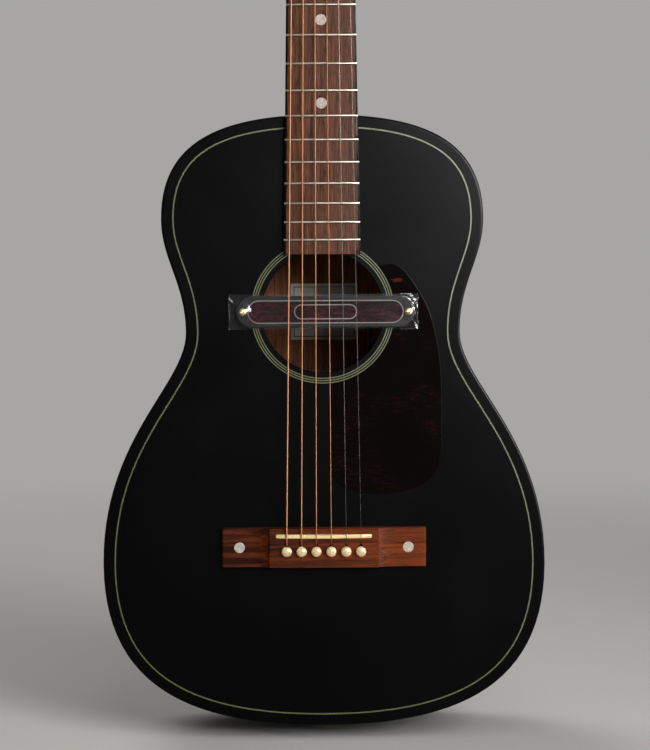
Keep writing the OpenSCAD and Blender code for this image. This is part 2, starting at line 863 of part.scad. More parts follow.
head_half = through([[nut_w / 2, -12], [nut_w / 2 + 0.4, 0], [nut_w / 2 + 3.4, 0.45 * passage_l],
  [head_half_low - 2.6, passage_l], [head_half_low, 1.64 * passage_l],
  [mix(head_half_low, head_half_high, 0.5), head_l / 2 + 1],
  [head_half_high, head_l - 1.64 * head_corner], [head_half_high + 0.6, head_l - head_corner],
  [head_half_high - 3.6, head_l - 0.43 * head_corner], [0.667 * head_half_high, head_l - 0.227 * head_corner],
  [0.333 * head_half_high, head_l - 0.055 * head_corner], [0, head_l]], 5);
function head_outline() = concat([for (p = head_half) p], [[0, head_l]],
  [for (i = [len(head_half) - 1 : -1 : 0]) [-head_half[i][0], head_half[i][1]]]);
plate_screws = [post_ys[0] - 15, post_ys[0] + 14, post_ys[1] + 14, post_ys[2] + 12];
cover_screws = [8.5, 33];

// Past the nut the round back of the neck grows into the square section of the headstock
function passage_loop(p) = let (t = p[1] / passage_l, ex = mix(0.86, 0.05, sqrt(t)), ez = mix(0.8, 0.05, t),
    d = mix(neck_d(head_y), head_t, t))
  [for (i = [0 : 20]) let (a = 180 * i / 20, c = cos(a))
    from_head([p[0] * (c < 0 ? -1 : 1) * pow(abs(c), ex), p[1], -d * pow(abs(sin(a)), ez)])];
passage_points = [for (p = head_half) if (p[1] > 0.5 && p[1] < passage_l + 0.01) p];

// Pocket of the truss rod nut and the screw holes of its cover
module head_cuts() {
  on_head() {
    for (x = [-8, 8])
      translate([x, cover_screws[0], -6])
        cylinder(r = 0.9, h = 7);
    translate([0, cover_screws[1], -6])
      cylinder(r = 0.9, h = 7);
    translate([-4.4, 0.5, -11])
      cube([8.8, 23.5, 20]);
  }
}

module neck() {
  color("#24211e")
    upright()
      union() {
        difference() {
          loft(concat([for (y = neck_stations) neck_loop(y)], [for (p = passage_points) passage_loop(p)]));
          slab(0, -far, 5);
          translate([-rod_channel_w / 2, body_length + 12, -rod_channel_d])
            cube([rod_channel_w, far, far]);
          head_cuts();
        }
        translate([-tenon_w / 2, body_length - tenon_l, -top_t - tenon_h])
          cube([tenon_w, tenon_l + 4, tenon_h]);
      }
}

module headstock() {
  color("#24211e")
    upright()
      difference() {
        on_head()
          difference() {
            translate([0, 0, -head_t])
              linear_extrude(head_t)
                polygon(head_outline());
            for (s = [-1, 1])
              for (y = post_ys)
                translate([s * post_x, y, -head_t - 1])
                  cylinder(r = bushing_r + 0.05, h = head_t + 2);
            for (s = [-1, 1])
              for (y = plate_screws)
                translate([s * post_x, y, -head_t - 1])
                  cylinder(r = 1, h = 8.2);
            translate([-far, -far, -far])
              cube([2 * far, far + passage_l + glue_gap, 2 * far]);
          }
        head_cuts();
      }
}

module fingerboard() {
  n = 24;
  h = board_w(board_end_y) / 2 + 1;
  color("#4a3626")
    upright()
      difference() {
        intersection() {
          linear_extrude(board_t + 1)
            polygon([[-board_w(board_end_y) / 2, board_end_y], [board_w(board_end_y) / 2, board_end_y],
              [nut_w / 2, nut_y], [-nut_w / 2, nut_y]]);
          translate([0, nut_y + 1, 0])
            rotate([90, 0, 0])
              linear_extrude(nut_y - board_end_y + 2)
                polygon(concat([[-h, 0], [h, 0]],
                  [for (i = [n : -1 : 0]) let (x = mix(-h, h, i / n)) [x, board_t + crown(x)]]));
        }
        for (i = [1 : fret_count])
          translate([-far, fret_y(i) - 0.3, board_t - 3])
            cube([2 * far, 0.6, 10]);
        board_dot_places()
          translate([0, 0, board_t - 1.6])
            cylinder(r = dot_r + inlay_gap, h = 5);
      }
}

module frets() {
  color("#c9c6bd")
    upright()
      for (i = [1 : fret_count]) {
        w = board_w(fret_y(i)) - 0.2;
        a = 2 * asin(w / 2 / board_radius);
        translate([0, fret_y(i), board_t - board_radius])
          rotate([-90, 90, 0])
            rotate([0, 0, 180 - a / 2])
              rotate_extrude(angle = a, $fn = 720)
                polygon(concat([[board_radius - 1.6, -0.25], [board_radius + 0.005, -0.25]],
                  [for (j = [0 : 8]) let (b = 180 * j / 8)
                    [board_radius + 0.005 + (j == 0 || j == 8 ? 0 : 0.25 + (fret_h - 0.25) * sin(b)),
                     -fret_w / 2 * cos(b)]],
                  [[board_radius + 0.005, 0.25], [board_radius - 1.6, 0.25]]));
      }
}

// Strings
function nut_z(k) = board_t + crown(nut_x(k)) + nut_lift + gauges[k] / 2;
function saddle_z(k) = board_t + crown(saddle_x(k)) + saddle_lift + gauges[k] / 2;
function on_nut(k) = [nut_x(k), nut_y + 1, nut_z(k)];
function on_saddle(k) = [saddle_x(k), saddle_y - saddle_t / 2, saddle_z(k)];
function from_head(p) = [p[0], head_y + p[1] * cos(head_angle) + p[2] * sin(head_angle),
  p[2] * cos(head_angle) - p[1] * sin(head_angle)];
function to_head(p) = let (y = p[1] - head_y)
  [p[0], y * cos(head_angle) - p[2] * sin(head_angle), y * sin(head_angle) + p[2] * cos(head_angle)];
function wind_r(k) = post_waist_r + 0.35 + gauges[k] / 2;
function wind_low(k) = 3.4 + gauges[k] / 2;
function post_c(k) = [side_of(k) * post_x, post_ys[string_post_row[k]]];
function wind_start(k) = let (p = to_head(on_nut(k)), d = [p[0], p[1]] - post_c(k), s = side_of(k))
  atan2(d[1], d[0]) - s * acos(wind_r(k) / norm(d));
function winding(k) = let (a = wind_start(k), c = post_c(k), r = wind_r(k), s = side_of(k))
  [for (i = [0 : round(24 * wind_turns)])
    from_head([c[0] + r * cos(a - s * 15 * i), c[1] + r * sin(a - s * 15 * i),
      wind_low(k) + (gauges[k] + wind_space) * i / 24])];
function rise_top(k) = bridge_h + 0.15 + gauges[k] / 2 + 0.1;
function string_path(k) = let (w = winding(k), b = [saddle_x(k), rise_y, rise_top(k)],
    a = [saddle_x(k), rise_y, plate_z - ball_r])
  concat([a], fillet(a, b, on_saddle(k), 0.9, 5), fillet(b, on_saddle(k), on_nut(k), 3, 2),
    fillet(on_saddle(k), on_nut(k), w[0], 3, 2), [for (t = [0.8, 0.93]) mix(on_nut(k), w[0], t)], w);
// Least free space between turns, measured on the points of the windings
function turn_gap(k) = let (p = string_path(k), n = len(p), w = round(24 * wind_turns) + 4)
  min([for (i = [n - w : n - 13]) for (j = [i + 12 : n - 1]) norm(p[i] - p[j])]) - gauges[k];
echo(str("least gap between turns of the windings: ", min([for (k = [0 : 5]) turn_gap(k)]), " mm"));

module string(k) {
  tube(string_path(k), gauges[k] / 2, 6);
  translate([saddle_x(k), rise_y, plate_z - ball_r - 0.02])
    sphere(r = ball_r, $fn = 24);
}

module wound_strings() {
  color("#b08a54")
    upright()
      for (k = [0 : 3])
        union() {
          string(k);
        }
}

module plain_strings() {
  color("#cfd0d2")
    upright()
      for (k = [4 : 5])
        union() {
          string(k);
        }
}

module nut() {
  n = 12;
  color("#e9e0c4")
    upright()
      difference() {
        translate([0, nut_y + nut_t, 0])
          rotate([90, 0, 0])
            linear_extrude(nut_t)
              polygon(concat([[-nut_w / 2, 0.02], [nut_w / 2, 0.02]],
                [for (i = [n : -1 : 0]) let (x = mix(-nut_w / 2, nut_w / 2, i / n))
                  [x, board_t + nut_lift + 0.5 + crown(x)]]));
        // Slots that fall toward the posts behind the front edge
        for (k = [0 : 5]) {
          g = gauges[k] / 2 + 0.08;
          d = winding(k)[0] - on_nut(k);
          translate(on_nut(k))
            translate([-g, -20, -g])
              cube([2 * g, 22, 10]);
          translate(on_nut(k))
            rotate([0, 0, -atan2(d[0], d[1])])
              rotate([atan2(d[2], norm([d[0], d[1]])), 0, 0])
                translate([-g, -0.6, -g])
                  cube([2 * g, 22, 10]);
        }
      }
}

module truss_rod() {
  l = head_y - body_length - 14;
  color("#8d8f92")
    upright()
      translate([0, body_length + 13, 0]) {
        translate([0, 0, -2.9])
          rotate([-90, 0, 0])
            cylinder(r = 2.2, h = l - 4);
        translate([0, 8, -7.5])
          rotate([-90, 0, 0])
            cylinder(r = 2.3, h = l + 4);
        difference() {
          translate([-2.9, 0, -10.2])
            cube([5.8, 8, 9.6]);
          translate([0, -1, -2.9])
            rotate([-90, 0, 0])
              cylinder(r = 2.2, h = 20);
        }
        difference() {
          translate([0, l + 4, -7.5])
            rotate([-90, 30, 0])
              cylinder(r = 3.9, h = 7, $fn = 6);
          translate([0, l, -7.5])
            rotate([-90, 0, 0])
              cylinder(r = 2.35, h = 30);
        }
      }
}

module truss_cover() {
  side = through([[11.5, 2.5], [11.3, 10], [8.6, 20], [6.2, 29], [4.6, 36], [2.4, 38.6], [0, 39.2]], 4);
  color("#1a1a1a")
    upright()
      on_head()
        translate([0, 0, 0.02])
          difference() {
            linear_extrude(cover_t)
              polygon(concat([for (p = side) p], [[0, 39.2]],
                [for (i = [len(side) - 1 : -1 : 0]) [-side[i][0], side[i][1]]]));
            for (x = [-8, 8])
              translate([x, cover_screws[0], -1])
                cylinder(r = 1, h = 5);
            translate([0, cover_screws[1], -1])
              cylinder(r = 1, h = 5);
          }
}

module wood_screw(head_r, head_h, shank_r, shank_l) {
  difference() {
    union() {
      cylinder(r = head_r, h = head_h);
      translate([0, 0, -shank_l])
        cylinder(r = shank_r, h = shank_l + 0.1);
    }
    translate([-head_r, -0.3, head_h - 0.5])
      cube([2 * head_r, 0.6, 1]);
  }
}

module headstock_screws() {
  color("#c8c2b0")
    upright()
      on_head() {
        for (s = [-1, 1])
          for (y = plate_screws)
            translate([s * post_x, y, -head_t - tuner_plate_t - 0.02])
              mirror([0, 0, 1])
                wood_screw(2.3, 1.3, 0.9, 7);
        for (x = [-8, 8])
          translate([x, cover_screws[0], cover_t + 0.04])
            wood_screw(1.7, 0.8, 0.8, 6);
        translate([0, cover_screws[1], cover_t + 0.04])
          wood_screw(1.7, 0.8, 0.8, 6);
      }
}

// Tuners
module tuner_plates() {
  y0 = post_ys[0] - plate_low;
  y1 = post_ys[2] + plate_high;
  color("#c9b98a")
    upright()
      on_head()
        for (s = [-1, 1])
          difference() {
            union() {
              translate([s * post_x - tuner_plate_w / 2, y0, -head_t - tuner_plate_t - 0.01])
                cube([tuner_plate_w, y1 - y0, tuner_plate_t]);
              for (y = post_ys)
                for (t = [-1, 1])
                  translate([s * post_x + t * (worm_l / 2 + 0.4 + tab_t / 2) - tab_t / 2,
                    y + worm_y - 3.3, gear_z - 3])
                    cube([tab_t, 5.9, -head_t - tuner_plate_t - gear_z + 3]);
            }
            for (y = post_ys) {
              translate([s * post_x, y, -far])
                cylinder(r = post_r + run_gap, h = far);
              translate([-far, y + worm_y, gear_z])
                rotate([0, 90, 0])
                  cylinder(r = shaft_r + run_gap, h = 2 * far);
            }
            for (y = plate_screws)
              translate([s * post_x, y, -far])
                cylinder(r = 1, h = far);
          }
}

module post_bushings() {
  color("#cfcabb")
    upright()
      on_head()
        for (s = [-1, 1])
          for (y = post_ys)
            translate([s * post_x, y, 0])
              rotate_extrude()
                polygon([[post_r + run_gap, -bushing_l], [bushing_r, -bushing_l], [bushing_r, 0.01],
                  [bushing_flange_r, 0.01], [bushing_flange_r, bushing_flange_h / 2],
                  [0.9 * bushing_flange_r, bushing_flange_h], [post_r + run_gap, bushing_flange_h]]);
}

module string_post(k) {
  color("#cfcabb")
    upright()
      at_tuner(k)
        difference() {
          rotate_extrude()
            polygon([[0, gear_z - gear_t / 2 + 0.2], [2, gear_z - gear_t / 2 + 0.2], [2, gear_z + gear_t / 2],
              [post_r + 0.6, gear_z + gear_t / 2], [post_r + 0.6, -head_t - tuner_plate_t - 0.4],
              [post_r, -head_t - tuner_plate_t - 0.4], [post_r, 2], [post_waist_r, 3],
              [post_waist_r, post_h - 4.6], [post_r, post_h - 3.2], [post_r, post_h - 0.8],
              [post_r - 0.8, post_h], [0, post_h]]);
          translate([0, 0, post_h - 2.6])
            rotate([0, 90, 0])
              cylinder(r = 0.95, h = 20, center = true);
          translate([0, 0, gear_z - gear_t])
            cylinder(r = 1.25, h = gear_t + 4);
        }
}

function gear_points() = [for (i = [0 : gear_teeth - 1]) let (a = 360 * (i + 0.5) / gear_teeth - 90,
    w = worm_pitch / 2 - 0.14)
  each [for (q = [[gear_r - 0.85, -1.32 * w], [gear_r, -w], [gear_r + 0.55, -0.5 * w],
                  [gear_r + 0.55, 0.5 * w], [gear_r, w], [gear_r - 0.85, 1.32 * w]])
    let (b = a + q[1] / 2 / q[0] * 180 / PI) [q[0] * cos(b), q[0] * sin(b)]]];

module tuner_gear(k) {
  lean = 180 / PI * gear_t * worm_pitch / (2 * PI * worm_r) / gear_r;
  color("#c2a45a")
    upright()
      at_tuner(k) {
        translate([0, 0, gear_z])
          difference() {
            rotate([0, 0, -lean / 2])
              translate([0, 0, -gear_t / 2])
                linear_extrude(gear_t, twist = -lean, slices = 2)
                  polygon(gear_points());
            translate([0, 0, -gear_t])
              cylinder(r = 2.03, h = 2 * gear_t);
          }
        translate([0, 0, gear_z - gear_t / 2])
          difference() {
            union() {
              translate([0, 0, -1.4])
                cylinder(r = 2.6, h = 1.38);
              cylinder(r = 1.2, h = 4);
              translate([0, 0, -0.1])
                cylinder(r = 1.2, h = 0.2);
            }
            translate([-4, -0.35, -2])
              cube([8, 0.7, 1.2]);
          }
      }
}

// Cross section of the single thread of a worm
function worm_points() = let (tip = 0.46, mid = worm_pitch / 2 - 0.16, foot = 1.42,
    a = function (w) 180 * w / worm_pitch)
  [for (q = [[worm_r + 0.55, -a(tip)], [worm_r + 0.55, 0], [worm_r + 0.55, a(tip)], [worm_r, a(mid)],
             [worm_r - 0.75, a(foot)], [worm_r - 0.75, mix(a(foot), 180, 0.5)], [worm_r - 0.75, 180],
             [worm_r - 0.75, mix(-a(foot), -180, 0.5)], [worm_r - 0.75, -a(foot)], [worm_r, -a(mid)]])
    [q[0] * cos(q[1]), q[0] * sin(q[1])]];

module worm_shaft(k) {
  turn = 360 * worm_l / worm_pitch;
  color("#b9b4a4")
    upright()
      at_tuner(k)
        translate([0, worm_y, gear_z])
          rotate([0, 90, 0])
            union() {
              loft([for (i = [0 : 38]) let (a = 90 + turn * (i / 38 - 0.5))
                [for (p = worm_points())
                  [p[0] * cos(a) - p[1] * sin(a), p[0] * sin(a) + p[1] * cos(a), worm_l * (i / 38 - 0.5)]]]);
              translate([0, 0, -worm_l / 2 - tab_t - 1.6])
                cylinder(r = shaft_r, h = tab_t + 1.6);
              translate([0, 0, -worm_l / 2 - tab_t - 1.6])
                cylinder(r = shaft_r + 0.6, h = 0.8);
              translate([0, 0, worm_l / 2])
                cylinder(r = shaft_r, h = button_x + 6 - worm_l / 2);
            }
}

module tuner_button(k) {
  r = button_l / 2;
  color("#ece6d2")
    upright()
      at_tuner(k)
        translate([button_x, worm_y, gear_z])
          difference() {
            union() {
              rotate([0, 90, 0])
                cylinder(r = 3.4, h = 5);
              translate([2, 0, 0])
                rotate([0, 90, 0])
                  cylinder(r = 2.8, h = r);
              for (s = [-1, 1])
                translate([4 + r, s * (button_half - r), -button_t / 2])
                  cylinder(r = r, h = button_t);
              translate([4, -button_half + r, -button_t / 2])
                cube([2 * r, 2 * (button_half - r), button_t]);
            }
            translate([-1, 0, 0])
              rotate([0, 90, 0])
                cylinder(r = shaft_r + 0.02, h = 7.2);
          }
}

// Pickup, wiring and jack
module stadium(l, w, h) {
  union() {
    for (s = [-1, 1])
      translate([s * (l - w) / 2, 0, 0])
        cylinder(r = w / 2, h = h);
    translate([-(l - w) / 2, -w / 2, 0])
      cube([l - w, w, h]);
  }
}

module pickup_case() {
  color("#232220")
    upright()
      translate([pickup_x, pickup_y, 0])
        difference() {
          union() {
            translate([-case_l / 2, -case_w / 2, -pickup_depth])
              cube([case_l, case_w, pickup_depth + pickup_z]);
            // Feet that level the bar on the soundboard and the pickguard
            translate([-pickup_screw_pitch / 2, 0, 0.02])
              cylinder(r = 4, h = pickup_z - 0.02);
            translate([pickup_screw_pitch / 2, 0, guard_t + 0.02])
              cylinder(r = 4, h = pickup_z - guard_t - 0.02);
          }
          translate([-case_l / 2 + 1.6, -case_w / 2 + 1.6, -pickup_depth + 1.6])
            cube([case_l - 3.2, case_w - 3.2, far]);
          for (s = [-1, 1])
            translate([s * pickup_screw_pitch / 2, 0, -1])
              cylinder(r = 1.3, h = 6);
          translate([case_l / 2 - 8, 0, -pickup_depth - 1])
            cylinder(r = lead_r + 0.15, h = 4);
        }
}

module pickup_line(l, w) {
  translate([0, 0, pickup_cover_t - pickup_line_d])
    difference() {
      stadium(l, w, pickup_line_d + 1);
      translate([0, 0, -1])
        stadium(l - 2 * pickup_line, w - 2 * pickup_line, pickup_line_d + 3);
    }
}

module pickup_cover() {
  color("#4a1f14")
    upright()
      translate([pickup_x, pickup_y, pickup_z + 0.02])
        difference() {
          stadium(pickup_l, pickup_w, pickup_cover_t);
          // A plain border line and a plain panel line
          pickup_line(field_l, field_w);
          pickup_line(panel_l, panel_w);
          for (s = [-1, 1])
            translate([s * pickup_screw_pitch / 2, 0, -1])
              cylinder(r = 1.3, h = pickup_cover_t + 2);
        }
}

module pickup_screws() {
  color("#b9a878")
    upright()
      for (s = [-1, 1])
        translate([pickup_x + s * pickup_screw_pitch / 2, pickup_y, pickup_z + pickup_cover_t + 0.04])
          difference() {
            union() {
              rotate_extrude()
                polygon(concat([[0, 0]], [for (i = [0 : 6]) let (a = 90 * i / 6) [2.9 * cos(a), 1.6 * sin(a)]]));
              translate([0, 0, -pickup_cover_t - pickup_z - top_t - 1])
                cylinder(r = 1, h = pickup_cover_t + pickup_z + top_t + 1.1);
            }
            translate([-1.5, -0.3, 1])
              cube([3, 0.6, 2]);
            translate([-0.3, -1.5, 1])
              cube([0.6, 3, 2]);
          }
}

module pickup_coil() {
  l = case_l - 8;
  w = case_w - 6;
  color("#a4622f")
    upright()
      translate([pickup_x, pickup_y, -pickup_depth + 1.7]) {
        difference() {
          stadium(l, w, 8);
          translate([0, 0, -1])
            stadium(l - 8, w - 8, 10);
        }
        translate([-l / 2 + 8, -1.8, 0])
          cube([l - 16, 3.6, 9]);
      }
}

lead_start = [pickup_x + case_l / 2 - 8, pickup_y, -pickup_depth + 0.6];
jack_end = socket_l - strap_l + 14;
lead_points = [lead_start, lead_start - [0, 0, 5], lead_start - [0, 0, 10], lead_start + [4, -22, -28],
  [30, mix(saddle_y, hole_y, 0.45), -58],
  [24, saddle_y, -60], [13, 0.6 * saddle_y, -56], [3, jack_end + 26, -jack_z - 2], [0, jack_end + 12, -jack_z],
  [0, jack_end + 0.3, -jack_z]];

module pickup_lead() {
  color("#1d1d1d")
    upright()
      tube(concat(through(lead_points, 5), [lead_points[len(lead_points) - 1]]), lead_r, 8);
}

module ring_y(r, h) {
  rotate([-90, 0, 0])
    cylinder(r = r, h = h);
}

module endpin_jack() {
  color("#c6c3ba")
    upright()
      translate([0, 0, -jack_z]) {
        // Barrel with the socket
        difference() {
          translate([0, -4, 0])
            ring_y(barrel_r, jack_end + 4);
          translate([0, -10, 0])
            ring_y(socket_r, socket_l - strap_l + 10);
          translate([0, socket_l - strap_l, 0])
            ring_y(socket_r + 1, 10);
        }
        // Strap button that closes the outside
        difference() {
          rotate([-90, 0, 0])
            rotate_extrude()
              polygon([[socket_r, -strap_l], [strap_r - 1, -strap_l], [strap_r, -strap_l + 1],
                [strap_r, -strap_l + 2], [5.3 + 0.6, -strap_l + 3.6], [5.3, -strap_l + 5],
                [barrel_r + 0.7, -strap_l + 7], [strap_r, -1.6], [strap_r, -0.02], [socket_r, -0.02]]);
          translate([0, -4.02, 0])
            ring_y(barrel_r + 0.03, 10);
        }
        // Washer and nut on the inside of the tail block
        translate([0, tail_block_l + 0.02, 0])
          difference() {
            ring_y(9.5, 1);
            translate([0, -1, 0])
              ring_y(barrel_r + 0.05, 4);
          }
        translate([0, tail_block_l + 1.04, 0])
          difference() {
            rotate([-90, 0, 0])
              cylinder(r = 9.2, h = 3, $fn = 6);
            translate([0, -1, 0])
              ring_y(barrel_r + 0.05, 6);
          }
      }
}

soundboard();
back();
side_bass();
side_treble();
end_blocks();
linings();
top_braces();
back_braces();
bridge_plate();
purfling();
rosette();
pickguard();
label();
bridge();
saddle();
bridge_pins();
bridge_bolts();
pearl_dots();
neck();
headstock();
fingerboard();
frets();
nut();
truss_rod();
truss_cover();
headstock_screws();
tuner_plates();
post_bushings();
string_post(0);  // string_post_1
string_post(1);  // string_post_2
string_post(2);  // string_post_3
string_post(3);  // string_post_4
string_post(4);  // string_post_5
string_post(5);  // string_post_6
tuner_gear(0);  // tuner_gear_1
tuner_gear(1);  // tuner_gear_2
tuner_gear(2);  // tuner_gear_3
tuner_gear(3);  // tuner_gear_4
tuner_gear(4);  // tuner_gear_5
tuner_gear(5);  // tuner_gear_6
worm_shaft(0);  // worm_shaft_1
worm_shaft(1);  // worm_shaft_2
worm_shaft(2);  // worm_shaft_3
worm_shaft(3);  // worm_shaft_4
worm_shaft(4);  // worm_shaft_5
worm_shaft(5);  // worm_shaft_6
tuner_button(0);  // tuner_button_1
tuner_button(1);  // tuner_button_2
tuner_button(2);  // tuner_button_3
tuner_button(3);  // tuner_button_4
tuner_button(4);  // tuner_button_5
tuner_button(5);  // tuner_button_6
wound_strings();
plain_strings();
pickup_case();
pickup_cover();
pickup_screws();
pickup_coil();
pickup_lead();
endpin_jack();
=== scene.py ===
"""Parlour guitar: modelled pieces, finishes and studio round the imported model."""

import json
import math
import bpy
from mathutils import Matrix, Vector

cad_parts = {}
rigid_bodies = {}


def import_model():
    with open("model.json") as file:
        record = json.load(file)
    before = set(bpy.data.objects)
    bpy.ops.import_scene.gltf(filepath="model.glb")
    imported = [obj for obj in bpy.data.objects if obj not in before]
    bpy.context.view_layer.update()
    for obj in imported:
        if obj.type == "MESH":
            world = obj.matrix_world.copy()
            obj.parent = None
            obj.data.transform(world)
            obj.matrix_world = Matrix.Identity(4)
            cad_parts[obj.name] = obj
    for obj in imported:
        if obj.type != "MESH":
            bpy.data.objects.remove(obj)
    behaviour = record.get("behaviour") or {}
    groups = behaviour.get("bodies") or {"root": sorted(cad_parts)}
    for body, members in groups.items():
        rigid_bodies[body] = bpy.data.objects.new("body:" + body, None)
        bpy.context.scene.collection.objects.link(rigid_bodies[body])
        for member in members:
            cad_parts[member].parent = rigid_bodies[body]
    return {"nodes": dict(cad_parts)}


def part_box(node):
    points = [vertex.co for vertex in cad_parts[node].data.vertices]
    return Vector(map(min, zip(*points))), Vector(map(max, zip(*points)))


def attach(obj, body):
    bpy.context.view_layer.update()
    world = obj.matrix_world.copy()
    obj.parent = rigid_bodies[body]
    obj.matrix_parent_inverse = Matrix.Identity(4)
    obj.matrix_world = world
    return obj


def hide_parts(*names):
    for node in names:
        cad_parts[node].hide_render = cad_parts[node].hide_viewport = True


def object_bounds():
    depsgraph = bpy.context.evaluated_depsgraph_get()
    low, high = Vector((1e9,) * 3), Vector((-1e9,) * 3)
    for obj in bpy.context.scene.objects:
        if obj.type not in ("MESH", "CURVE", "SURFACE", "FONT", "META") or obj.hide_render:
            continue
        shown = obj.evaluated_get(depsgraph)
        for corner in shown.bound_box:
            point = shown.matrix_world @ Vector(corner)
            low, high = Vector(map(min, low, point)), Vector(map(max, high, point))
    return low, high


bl_info = {
    "name": "Parlour guitar",
    "version": (1, 0, 0),
    "blender": (4, 5, 0),
    "location": "3D View > Sidebar > Guitar",
    "description": "Dresses the packed guitar with modelled pieces and real finishes",
    "category": "Object",
}

import bpy
from mathutils import Quaternion, Vector

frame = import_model()
CAD_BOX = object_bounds()

MM = 0.001
# Points of a copied solid that are nearer than this are one
WELD = 0.002 * MM
# Places nearer than this are level
LEVEL = 0.01 * MM
# Places nearer than this lie on a curve that is drawn in short lines
CLOSE = 0.05 * MM
# Least share of a normal along an axis that counts as facing that way
FACING = 0.9
# Neighbours at a smaller angle are one flat face
FLAT = math.radians(0.2)
# Stands a flat primitive up, with its face to the front
UPRIGHT = (math.pi / 2, 0, 0)
BOARD_LOW, BOARD_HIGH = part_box("soundboard")
# Front face of the soundboard and height of the tail, in the object's frame
FACE_Y = BOARD_LOW[1]
TAIL_Z = BOARD_LOW[2]
# Middle of the sound hole, which the rosette is drawn round
HOLE = [(a + b) / 2 for a, b in zip(*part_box("rosette"))]
GUARD_LOW, GUARD_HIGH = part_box("pickguard")
# Middle of the amber fleck near the guard's upper tip
AMBER = (0.4 * GUARD_LOW[0] + 0.6 * GUARD_HIGH[0], GUARD_LOW[1], GUARD_HIGH[2] - 12 * MM)
TUNERS = range(1, 7)
# Creases of the film: end of the pickup, direction in degrees and height
FILM_CREASES = (
    (-1, 205, 0.5 * MM),
    (-1, 243, 0.6 * MM),
    (-1, 138, 0.4 * MM),
    (1, 12, 0.5 * MM),
    (1, 47, 0.7 * MM),
    (1, 68, 0.4 * MM),
    (1, -66, 0.6 * MM),
)
# Nearly all the values of a noise lie in this range
NOISE_RANGE = {"From Min": 0.3, "From Max": 0.7}


def srgb(code):
    """Linear RGBA of an sRGB hex colour."""
    values = [int(code[i : i + 2], 16) / 255 for i in (1, 3, 5)]
    linear = [v / 12.92 if v <= 0.04045 else ((v + 0.055) / 1.055) ** 2.4 for v in values]
    return (*linear, 1.0)


def size(name, description, default):
    """A length that a user can change."""
    return bpy.props.FloatProperty(
        name=name, description=description, default=default, unit="LENGTH", precision=5
    )


def colour(name, description, code):
    """A colour that a user can change."""
    return bpy.props.FloatVectorProperty(
        name=name,
        description=description,
        default=srgb(code),
        subtype="COLOR",
        size=4,
        min=0.0,
        max=1.0,
    )


class GuitarBodySizes(bpy.types.PropertyGroup):
    """Sizes of the sound box and its inlaid lines."""

    length: size("Body length", "From tail to neck edge", BOARD_HIGH[2] - BOARD_LOW[2])
    lower_bout: size("Lower bout", "Widest part of the body", BOARD_HIGH[0] - BOARD_LOW[0])
    waist: size("Waist", "Narrowest part of the body", 200.4 * MM)
    upper_bout: size("Upper bout", "Width of the body near the neck", 234.8 * MM)
    lower_height: size("Lower bout height", "Height of the widest part over the tail", 120.8 * MM)
    waist_height: size("Waist height", "Height of the waist over the tail", 292.7 * MM)
    upper_height: size("Upper bout height", "Height of the upper bout over the tail", 374.9 * MM)
    depth_tail: size("Depth at the tail", "Depth of the body at the tail", 96 * MM)
    depth_neck: size("Depth at the neck", "Depth of the body at the neck", 86 * MM)
    back_arch: size("Back arch", "Lengthways arch of the back", 3 * MM)
    top_wall: size("Soundboard wall", "Thickness of the soundboard", 2.8 * MM)
    back_wall: size("Back wall", "Thickness of the back", 2.8 * MM)
    side_wall: size("Side wall", "Thickness of the sides", 2.2 * MM)
    roll_width: size("Edge roll width", "How far the rolled front edge reaches in", 1.7 * MM)
    roll_drop: size("Edge roll drop", "How far the rolled front edge falls", 1.7 * MM)
    back_roll_width: size("Back roll width", "How far the rolled back edge reaches in", 3.2 * MM)
    back_roll_drop: size("Back roll drop", "How far the rolled back edge falls", 2.0 * MM)
    roll_land: size("Roll land", "Narrow band between a rolled edge and the flat face", 0.8 * MM)
    hole_radius: size("Sound hole", "Radius of the sound hole", 44.2 * MM)
    hole_height: size("Sound hole height", "Centre of the hole over the tail", HOLE[2] - TAIL_Z)
    hole_lip: size("Sound hole lip", "Eased edge of the sound hole", 0.6 * MM)
    purfling_inset: size("Purfling inset", "Outer edge of the line from the rim", 8.4 * MM)
    purfling_width: size("Purfling width", "Width of the inlaid line", 1.0 * MM)
    rosette_radius: size("Rosette radius", "Outer radius of the widest ring", 52.4 * MM)
    rosette_step: size("Rosette step", "Distance between two rings", 1.7 * MM)
    rosette_width: size("Rosette width", "Width of one ring", 0.7 * MM)
    inlay_depth: size("Inlay depth", "Thickness of the inlaid lines", 0.4 * MM)
    inlay_rise: size("Inlay rise", "How far the inlaid lines stand proud", 0.03 * MM)


